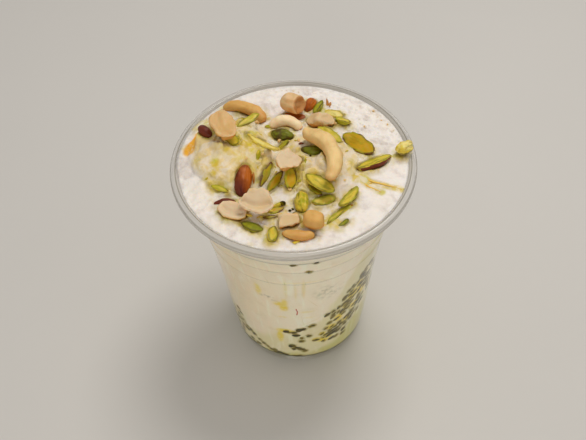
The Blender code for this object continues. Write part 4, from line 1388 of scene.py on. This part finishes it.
def cashew_material(name, settings, main, toast, face, ring=1.0):
    """Cashew: matt, toasted in patches, with painted shade in the roasted colour on its underside, a painted
    highlight on its upward faces, and another colour where it broke.
    """
    finish = food_finish(name, 0.48, 0.2, 0.0015, 0.3)
    place = finish.own_place()
    patch = finish.noise(0.006, 3.0, 0.55, 0.5, place)
    fine = finish.noise(0.0009, 3.0, 0.6, 0.0, place)
    # Painted shade: faces that point down take the roasted colour.
    painted_underside_shade = finish.times(finish.band("under", 0.30, 0.75), 0.8)
    brown = finish.sum("ADD", finish.band(patch, 0.45, 0.75, 0.0, 0.25 + 0.5 * toast), painted_underside_shade)
    colour = finish.coat(main, settings.roasted, brown)
    mottled = scaled(main, 0.93, 0.84, 0.72)
    colour = finish.coat(colour, mottled, finish.band(fine, 0.45, 0.75), 0.5)
    # Painted highlight: faces that point up are paler.
    painted_top_highlight = finish.band("under", 0.04, 0.30, 0.7, 0.0)
    light = scaled(main, 1.18, 1.24, 1.42)
    colour = finish.coat(colour, light, painted_top_highlight, finish.band(patch, 0.35, 0.62, 1.0, 0.25))
    inner = finish.coat(face, main, 0.5 * toast)
    rim = finish.band("edge", 0.0006, 0.0016, ring * (0.8 - 0.5 * toast), 0.0)
    inner = finish.coat(inner, scaled(face, 1.10, 1.10, 1.12), rim)
    inner = finish.coat(inner, main, finish.band(patch, 0.45, 0.7), 0.4)
    finish.drive("Base Color", finish.coat(colour, inner, "cut"))
    finish.drive("Roughness", finish.band(patch, 0.3, 0.8, 0.55, 0.36))
    coarse = finish.times(finish.noise(0.0018, 3.0, 0.6, 0.4, place), 1.6)
    finish.bump(finish.sum("ADD", finish.noise(0.0005, 3.0, 0.6, 0.0, place), coarse), 0.00011, 0.6)
    return finish.material


def pistachio_material(name, settings, flesh, heart, rim, skin_share=0.0, skin_patch=0.0):
    """Pistachio: a kernel with dark skin left in streaks, painted shade on its underside, and a paler cut face
    with a broken dark rim.
    """
    finish = food_finish(name, 0.42, 0.15, 0.001, 0.25)
    place = finish.own_place()
    streak = finish.noise(0.0022, 3.0, 0.6, 0.3, finish.stretched((0.28, 1.0, 1.0), place))
    fine = finish.noise(0.0007, 3.0, 0.6, 0.0, finish.stretched((0.4, 1.0, 1.0), place))
    broad = finish.noise(0.0036, 2.0, 0.5, 0.0, place)
    outside = finish.coat(flesh, heart, finish.band(broad, 0.38, 0.60))
    outside = finish.coat(outside, settings.dark, finish.band(streak, 0.52, 0.68, 0.0, 0.6))
    # Painted shade: faces that point down darken towards the dark edge colour.
    outside = finish.coat(outside, settings.dark, finish.band("under", 0.50, 0.80, 0.0, 0.7))
    if skin_share > 0.0:
        outside = finish.coat(outside, settings.skin, finish.band("under", 0.30, 0.42, 0.0, skin_share))
    if skin_patch > 0.0:
        left = finish.noise(0.0050, 2.0, 0.5, 0.0, place)
        outside = finish.coat(outside, settings.skin, finish.band(left, 0.46, 0.56, 0.0, skin_patch))
    inside = finish.coat(flesh, heart, finish.band("edge", 0.0002, 0.0011))
    inside = finish.coat(inside, flesh, finish.band(broad, 0.50, 0.70, 0.0, 0.55))
    inside = finish.coat(inside, settings.olive, finish.band(streak, 0.50, 0.66, 0.0, 0.5))
    broken = finish.band(finish.noise(0.0042, 2.0, 0.5, 0.0, place), 0.44, 0.56, 0.10, 1.0)
    brown = scaled(halfway(settings.dark, settings.skin), 0.8)
    inside = finish.coat(inside, brown, finish.band("edge", 0.0002, 0.00085, rim, 0.0), broken)
    inside = finish.coat(inside, flesh, finish.band(fine, 0.45, 0.75), 0.4)
    finish.drive("Base Color", finish.coat(outside, inside, "cut"))
    finish.drive("Roughness", finish.band(streak, 0.3, 0.7, 0.34, 0.55))
    finish.bump(fine, 0.00010, 0.7)
    return finish.material


def almond_material(name, dark, light):
    """Almond skin, with painted shade at one end and painted light at the other along the nut, lighter in worn
    patches, with long darker wrinkles.
    """
    finish = Finish(name, Roughness=0.45, Specular_IOR_Level=0.3)
    place = finish.own_place()
    streak = finish.noise(0.0020, 4.0, 0.6, 0.2, finish.stretched((0.2, 1.0, 1.0), place))
    broad = finish.noise(0.006, 2.0, 0.5, 0.0, place)
    # Painted light and shade: the skin turns from the dark colour to the light one along the nut, with random
    # worn patches.
    lit_end_and_wear = finish.sum("ADD", "along", finish.band(broad, 0.3, 0.7, -0.3, 0.3))
    colour = finish.coat(dark, light, finish.band(lit_end_and_wear, -1.0, 0.8))
    colour = finish.coat(colour, scaled(dark, 0.45), finish.band(streak, 0.5, 0.72), 0.7)
    finish.drive("Base Color", colour)
    finish.bump(streak, 0.00018, 0.8)
    return finish.material


CASHEW_KINDS = {
    "golden": ("half_left", "curved_left", "round_front", "low_front"),
    "toasted": ("wedge_front", "broken_right"),
    # A paler cashew, brightened further as painted light for a nut that lies in shade.
    "pale_and_lit": ("arched_middle",),
    "roasted": ("roasted_back",),
}
PISTACHIO_KINDS = {
    "green": ("whole_front", "green_back", "under_cashew", "shaving_left", "crumb_left"),
    "deep": ("green_front", "upright_back", "crumb_right"),
    "pale": ("on_lip", "pale_back", "shaving_long"),
    "lime": (
        "long_middle", "low_right", "half_front", "long_left", "shaving_right", "curved_right",
        "behind_cashew", "shaving_arrow",
    ),
    # Darker kernels. The olive_middle one sits in shade under a cashew, so its dark look is partly painted
    # shade.
    "dark": ("dark_back", "olive_middle"),
    "skin": ("split_right",),
}
ALMOND_KINDS = {"skin_dark": ("tip_left", "dark_piece"), "skin_light": ("piece_back", "sliver_back")}
# Rounds of smoothing for the cashews that have no cut face, or one that is nearly round.
ROUNDED = {
    "cashew_whole_right": 26, "cashew_curved_left": 26, "cashew_round_front": 26,
    "cashew_roasted_back": 14, "cashew_low_front": 18, "cashew_arched_middle": 20, "cashew_broken_right": 3,
}
# Depth in millimetres of the curved hollow in a split cashew's flat face.
GROOVES = {"cashew_split_front": 1.3, "cashew_half_left": 0.6, "cashew_dome_front": 0.5}
HOLLOWS = {"cashew_roasted_back": 1.1}
CHIPPED = (
    "cashew_flat_middle", "cashew_broken_right", "cashew_wedge_front", "cashew_split_front",
    "cashew_half_left", "pistachio_on_lip",
)
CHIP_DEPTH = 0.00045


def make_nuts(kind, slot, form, kinds, materials):
    """Every nut of one kind. Its form is how fine the mesh is, the rounds of smoothing, the relief and the
    least share of a cut face. Its name says which material it has, which is the first if none lists it."""
    cell, rounds, relief, least = form
    plain = next(iter(materials))
    for node in nodes_named(kind):
        mesh = nut_mesh(node, cell, ROUNDED.get(node, rounds), relief, least)
        short = node.split("_", 1)[1]
        look = next((look for look, names in kinds.items() if short in names), plain)
        add_piece(node + "_nut", mesh, materials[look], slot, node)


def make_cashews(settings):
    """Every cashew and piece of cashew."""
    browned = halfway(settings.broken, settings.golden)
    looks = {
        "plain": (settings.cashew, 0.0, settings.broken),
        # Paler cashew colour, brightened further as painted light.
        "pale_and_lit": (scaled(settings.broken, 1.4), 0.0, settings.broken),
        "golden": (settings.golden, 0.6, browned),
        "toasted": (settings.cashew, 0.8, settings.broken),
        "roasted": (browned, 0.4, scaled(settings.roasted, 0.80, 0.62, 0.35), 0.0),
    }
    materials = {look: cashew_material("cashew_" + look, settings, *parts) for look, parts in looks.items()}
    make_nuts("cashew", "cashew", (0.00032, 7, cashew_relief, 0.06), CASHEW_KINDS, materials)


def make_pistachios(settings):
    """Every pistachio kernel, half, slice and shaving."""
    looks = {
        "gold": (settings.green, settings.gold, 1.0, 0.0, 0.9),
        "green": (settings.green, settings.lime, 0.8),
        "lime": (settings.green, settings.lime, 0.7),
        "deep": (settings.olive, settings.green, 0.8),
        "pale": (settings.lime, settings.pale, 0.5),
        # Darker kernels, partly painted shade for a kernel that lies in shade.
        "dark": (settings.dark, settings.olive, 0.6),
        "skin": (settings.green, settings.lime, 0.8, 1.0),
    }
    materials = {
        look: pistachio_material("pistachio_" + look, settings, *parts) for look, parts in looks.items()
    }
    make_nuts("pistachio", "pistachio", (0.00024, 5, pistachio_relief, 0.08), PISTACHIO_KINDS, materials)


def make_almonds(settings):
    """Every piece of almond."""
    looks = {
        "skin": (settings.almond, settings.almond_light),
        "skin_dark": (settings.almond, settings.almond),
        "skin_light": (halfway(settings.almond, settings.almond_light), settings.almond_light),
    }
    materials = {look: almond_material("almond_" + look, *parts) for look, parts in looks.items()}
    make_nuts("almond", "almond_skin", (0.00026, 5, almond_relief, 0.10), ALMOND_KINDS, materials)


# Loose crumbs beside the listed ones, and how many of them are pistachio.
SPRINKLED = 24
LOOSE_GREEN = 18
# Places of crumbs in millimetres, then the length and how the crumb is turned in degrees.
PISTACHIO_CRUMBS = (
    (-12.4, 4.5, 4.2, 60.0), (-13.6, -1.0, 4.6, 75.0), (-20.9, 29.4, 3.8, 20.0), (-21.2, 6.0, 3.0, 70.0),
    (-9.6, 19.3, 4.0, 10.0), (14.6, -15.6, 4.0, -40.0), (4.9, -8.4, 3.0, 75.0), (-6.6, -23.6, 4.6, 15.0),
    (-8.6, -26.8, 5.0, 0.0), (19.0, 22.6, 3.6, -20.0), (22.4, 19.9, 4.4, -15.0), (-33.6, -10.0, 2.0, 40.0),
    (-17.6, -28.6, 3.4, 10.0), (-13.8, -29.2, 3.0, -10.0), (-0.5, -42.0, 3.2, 10.0), (26.0, -8.4, 3.0, 20.0),
    (-2.6, -10.0, 4.4, 65.0), (2.0, -14.6, 4.0, 50.0), (-6.0, 6.0, 3.4, 30.0), (8.6, 2.0, 3.6, 5.0),
)
TAN_CRUMBS = (
    (-4.9, 10.2, 2.6, 0.0), (-0.9, 9.4, 2.2, 40.0), (2.6, 7.4, 2.0, 80.0), (39.4, 18.8, 1.3, 0.0),
    (34.4, 27.0, 1.2, 0.0), (37.0, 21.6, 1.0, 0.0), (3.1, -3.2, 1.8, 20.0), (17.8, 18.3, 2.0, 0.0),
    (-14.4, 21.8, 3.0, 30.0), (-2.0, -17.5, 2.0, 0.0), (29.8, 17.8, 1.1, 0.0), (12.0, 12.0, 2.2, 10.0),
)
RED_CRUMBS = (
    (3.4, 4.4, 2.8, -30.0), (7.4, 30.6, 3.2, 60.0), (20.9, -25.5, 2.0, 40.0), (-16.2, -10.4, 2.6, 70.0),
    (3.9, 27.5, 2.8, 0.0),
)
SLIVERS = (
    (15.4, 33.0, 6.0, 92.0), (16.7, 32.0, 4.6, 84.0), (9.4, 33.4, 6.0, 97.0), (8.0, 32.0, 4.6, 74.0),
    (-30.2, 14.6, 8.6, -43.0), (-15.6, -11.2, 5.0, 75.0), (-10.4, -9.4, 4.6, 60.0),
)


def crumb_shape(draw, length, turn, slim):
    """The points and faces of one angular crumb, a ball cut by random planes."""
    ball, faces = unit_ball(3)
    for _ in range(9):
        normal = numpy.array([draw.gauss(0.0, 1.0) for _ in range(3)])
        normal /= numpy.linalg.norm(normal)
        over = ball @ normal - draw.uniform(0.45, 0.8)
        ball = ball - numpy.outer(numpy.clip(over, 0.0, None), normal)
    size = numpy.array((0.5, 0.5 * slim, 0.5 * slim * 0.8)) * length * MM
    lean = Matrix.Rotation(draw.uniform(-0.3, 0.3), 3, "Y") @ Matrix.Rotation(draw.uniform(-0.5, 0.5), 3, "X")
    way = numpy.array(Matrix.Rotation(math.radians(turn), 3, "Z") @ lean)
    return (ball * size) @ way.T, faces


def sprinkled_crumbs(draw):
    """Places for loose crumbs, thickest in the middle and none on a nut."""
    nuts = surface_tree(*(node + "_nut" for kind in NUT_KINDS for node in nodes_named(kind)))
    crumbs = []
    while len(crumbs) < SPRINKLED:
        x, y = draw.gauss(1.0, 9.0), draw.gauss(-4.0, 13.0)
        if math.hypot(x, y) < 36.0 and landing(nuts, x * MM, y * MM)[0] is None:
            crumbs.append((x, y, draw.uniform(0.7, 1.9), draw.uniform(0.0, 180.0)))
    return crumbs


def crumb_mesh(name, draw, tree, crumbs, slim):
    """The crumbs of one kind as one mesh, each laid along the surface under it, with what the nuts'
    materials read."""
    shapes = []
    own = []
    under = []
    for x, y, length, turn in crumbs:
        points, faces = crumb_shape(draw, length, turn, slim)
        hit, normal = landing(tree, x * MM, y * MM)
        tilt = numpy.array(UP.rotation_difference(normal).to_matrix())
        rise = numpy.array(hit) + numpy.array(normal) * length * MM * slim * 0.22
        shapes.append((points @ tilt.T + rise, faces))
        own.extend(points + rise * 9.0)
        # Lower points of a crumb count as its underside, for the same painted shade below and painted
        # highlight on top.
        under.extend(0.2 - 0.2 * points[:, 2] / abs(points[:, 2]).max())
    mesh = joined_mesh(name, shapes)
    set_places(mesh, "own", own)
    set_values(mesh, "under", under)
    for mark in ("along", "cut", "edge"):
        set_values(mesh, mark, numpy.zeros(len(under)))
    return mesh


def make_crumbs(settings):
    """Crumbs and slivers too small for a solid of their own, laid on what is under them."""
    tree = surface_tree("cream", "ice_cream_left", "ice_cream_middle")
    draw = random.Random(29)
    loose = sprinkled_crumbs(draw)
    lime = pistachio_material("pistachio_crumb", settings, settings.green, settings.lime, 0.3)
    tan = cashew_material("cashew_crumb", settings, settings.cashew, 0.3, settings.broken)
    red = almond_material("almond_crumb", settings.almond, settings.almond_light)
    brown = almond_material("brown_sliver", scaled(settings.roasted, 0.5), settings.roasted)
    groups = (
        ("pistachio_crumbs", (*PISTACHIO_CRUMBS, *loose[:LOOSE_GREEN]), 0.42, lime, "pistachio"),
        ("cashew_crumbs", (*TAN_CRUMBS, *loose[LOOSE_GREEN:]), 0.75, tan, "cashew"),
        ("almond_crumbs", RED_CRUMBS, 0.5, red, "almond_skin"),
        ("brown_slivers", SLIVERS, 0.26, brown, "almond_skin"),
    )
    for name, crumbs, slim, material, slot in groups:
        add_piece(name, crumb_mesh(name, draw, tree, crumbs, slim), material, slot)


# The stage

FLOOR_REACH = 4.0


def floor_material(settings):
    """Plain pale floor with a faint, even grain."""
    finish = Finish("pale_floor", Roughness=0.7)
    grain = finish.noise(0.08, 4.0, 0.6)
    finish.drive("Base Color", finish.coat(settings.floor, scaled(settings.floor, 0.97), grain))
    finish.bump(finish.noise(0.002, 2.0), 0.00003, 0.3)
    return finish.material


def add_lamp(name, power, size, place, aim, colour):
    """A large soft lamp that points at a place."""
    lamp = bpy.data.lights.new(name, "AREA")
    lamp.shape = "DISK"
    lamp.size = size
    lamp.energy = power
    lamp.color = colour
    item = bpy.data.objects.new(name, lamp)
    item.location = place
    item.rotation_euler = (Vector(aim) - Vector(place)).to_track_quat("-Z", "Y").to_euler()
    bpy.context.scene.collection.objects.link(item)


def make_stage(settings):
    """Floor, soft lamps, light all round and the camera."""
    mesh = bpy.data.meshes.new("floor")
    corners = ((-1, -1), (1, -1), (1, 1), (-1, 1))
    mesh.from_pydata([(x * FLOOR_REACH, y * FLOOR_REACH, 0.0) for x, y in corners], [], [(0, 1, 2, 3)])
    floor = bpy.data.objects.new("floor", mesh)
    mesh.materials.append(floor_material(settings))
    bpy.context.scene.collection.objects.link(floor)
    floor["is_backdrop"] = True
    world = bpy.data.worlds.new("soft_room")
    world.use_nodes = True
    light = world.node_tree.nodes["Background"]
    light.inputs["Color"].default_value = (1.0, 0.975, 0.94, 1.0)
    light.inputs["Strength"].default_value = settings.sky
    bpy.context.scene.world = world
    add_lamp("overhead_lamp", settings.key, 0.30, (0.14, 0.22, 0.70), (0.0, 0.0, 0.08), (1.0, 0.965, 0.92))
    add_lamp("front_lamp", settings.side, 0.5, (-0.10, -0.80, 0.34), (0.0, 0.0, 0.06), (1.0, 0.96, 0.90))
    make_camera()
    bpy.context.scene.view_settings.view_transform = "Standard"


def make_camera():
    """The camera at the photograph's angle and distance."""
    back = Vector((0.0, -math.cos(CAMERA_TILT), math.sin(CAMERA_TILT)))
    level_right = Vector((1.0, 0.0, 0.0))
    level_up = back.cross(level_right)
    right = level_right * math.cos(CAMERA_ROLL) + level_up * math.sin(CAMERA_ROLL)
    upward = level_up * math.cos(CAMERA_ROLL) - level_right * math.sin(CAMERA_ROLL)
    camera = bpy.data.cameras.new("photo_camera")
    camera.sensor_width = SENSOR
    camera.lens = FOCAL_PIXELS * SENSOR / PHOTO_WIDTH
    camera.clip_start = 0.01
    item = bpy.data.objects.new("photo_camera", camera)
    turn = Matrix((right, upward, back)).transposed()
    item.matrix_world = Matrix.Translation(CAMERA_TARGET + back * CAMERA_DISTANCE) @ turn.to_4x4()
    bpy.context.scene.collection.objects.link(item)
    bpy.context.scene.camera = item


# Buttons


class FALOODA_OT_stage(bpy.types.Operator):
    """Add the floor, the lamps and the camera"""

    bl_idname = "falooda.stage"
    bl_label = "Stage"

    def execute(self, context):
        make_stage(context.scene.falooda_stage)
        return {"FINISHED"}


class FALOODA_OT_cup(bpy.types.Operator):
    """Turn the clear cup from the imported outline"""

    bl_idname = "falooda.cup"
    bl_label = "Clear cup"

    def execute(self, context):
        make_cup(context.scene.falooda_cup)
        return {"FINISHED"}


class FALOODA_OT_drink(bpy.types.Operator):
    """Fill the cup with the layered drink and its soaked seeds"""

    bl_idname = "falooda.drink"
    bl_label = "Drink and seeds"

    def execute(self, context):
        make_drink(context.scene.falooda_drink)
        return {"FINISHED"}


class FALOODA_OT_noodles(bpy.types.Operator):
    """Lay vermicelli against the wall"""

    bl_idname = "falooda.noodles"
    bl_label = "Vermicelli"

    def execute(self, context):
        make_noodles(context.scene.falooda_drink)
        return {"FINISHED"}


class FALOODA_OT_cream(bpy.types.Operator):
    """Spread the cream round the mounds of ice cream"""

    bl_idname = "falooda.cream"
    bl_label = "Cream and ice cream"

    def execute(self, context):
        make_cream(context.scene.falooda_cream)
        return {"FINISHED"}


class FALOODA_OT_saffron(bpy.types.Operator):
    """Lay the strands and the few seeds on the cream"""

    bl_idname = "falooda.saffron"
    bl_label = "Saffron and top seeds"

    def execute(self, context):
        make_saffron(context.scene.falooda_cream, context.scene.falooda_drink)
        return {"FINISHED"}


class FALOODA_OT_cashews(bpy.types.Operator):
    """Shape the cashews"""

    bl_idname = "falooda.cashews"
    bl_label = "Cashews"

    def execute(self, context):
        make_cashews(context.scene.falooda_nuts)
        return {"FINISHED"}


class FALOODA_OT_pistachios(bpy.types.Operator):
    """Shape the pistachios"""

    bl_idname = "falooda.pistachios"
    bl_label = "Pistachios"

    def execute(self, context):
        make_pistachios(context.scene.falooda_nuts)
        return {"FINISHED"}


class FALOODA_OT_almonds(bpy.types.Operator):
    """Shape the pieces of almond"""

    bl_idname = "falooda.almonds"
    bl_label = "Almonds"

    def execute(self, context):
        make_almonds(context.scene.falooda_nuts)
        return {"FINISHED"}


class FALOODA_OT_crumbs(bpy.types.Operator):
    """Sprinkle the crumbs and slivers"""

    bl_idname = "falooda.crumbs"
    bl_label = "Crumbs"

    def execute(self, context):
        make_crumbs(context.scene.falooda_nuts)
        return {"FINISHED"}


class FALOODA_PT_panel(bpy.types.Panel):
    """Steps that dress the falooda, in order"""

    bl_idname = "FALOODA_PT_panel"
    bl_label = "Falooda"
    bl_space_type = "VIEW_3D"
    bl_region_type = "UI"
    bl_category = "Falooda"

    def draw(self, context):
        for operator in OPERATORS:
            self.layout.operator(operator.bl_idname)


SETTINGS = (
    ("falooda_cup", CupSettings),
    ("falooda_drink", DrinkSettings),
    ("falooda_cream", CreamSettings),
    ("falooda_nuts", NutSettings),
    ("falooda_stage", StageSettings),
)
OPERATORS = (
    FALOODA_OT_stage,
    FALOODA_OT_cup,
    FALOODA_OT_drink,
    FALOODA_OT_noodles,
    FALOODA_OT_cream,
    FALOODA_OT_saffron,
    FALOODA_OT_cashews,
    FALOODA_OT_pistachios,
    FALOODA_OT_almonds,
    FALOODA_OT_crumbs,
)


def register():
    """Adds the settings, the buttons and the panel."""
    for name, group in SETTINGS:
        bpy.utils.register_class(group)
        setattr(bpy.types.Scene, name, PointerProperty(type=group))
    for operator in OPERATORS:
        bpy.utils.register_class(operator)
    bpy.utils.register_class(FALOODA_PT_panel)


def unregister():
    """Takes them away again."""
    bpy.utils.unregister_class(FALOODA_PT_panel)
    for operator in reversed(OPERATORS):
        bpy.utils.unregister_class(operator)
    for name, group in reversed(SETTINGS):
        delattr(bpy.types.Scene, name)
        bpy.utils.unregister_class(group)


def main():
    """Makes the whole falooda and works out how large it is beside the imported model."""
    register()
    bpy.ops.falooda.stage()
    bpy.ops.falooda.cup()
    bpy.ops.falooda.drink()
    bpy.ops.falooda.noodles()
    bpy.ops.falooda.cream()
    bpy.ops.falooda.saffron()
    bpy.ops.falooda.cashews()
    bpy.ops.falooda.pistachios()
    bpy.ops.falooda.almonds()
    bpy.ops.falooda.crumbs()
    boxes = {"cad": cad_box, "visual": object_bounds()}
    {name: [[float(v) for v in corner] for corner in box] for name, box in boxes.items()}


if __name__ == "__main__":
    main()
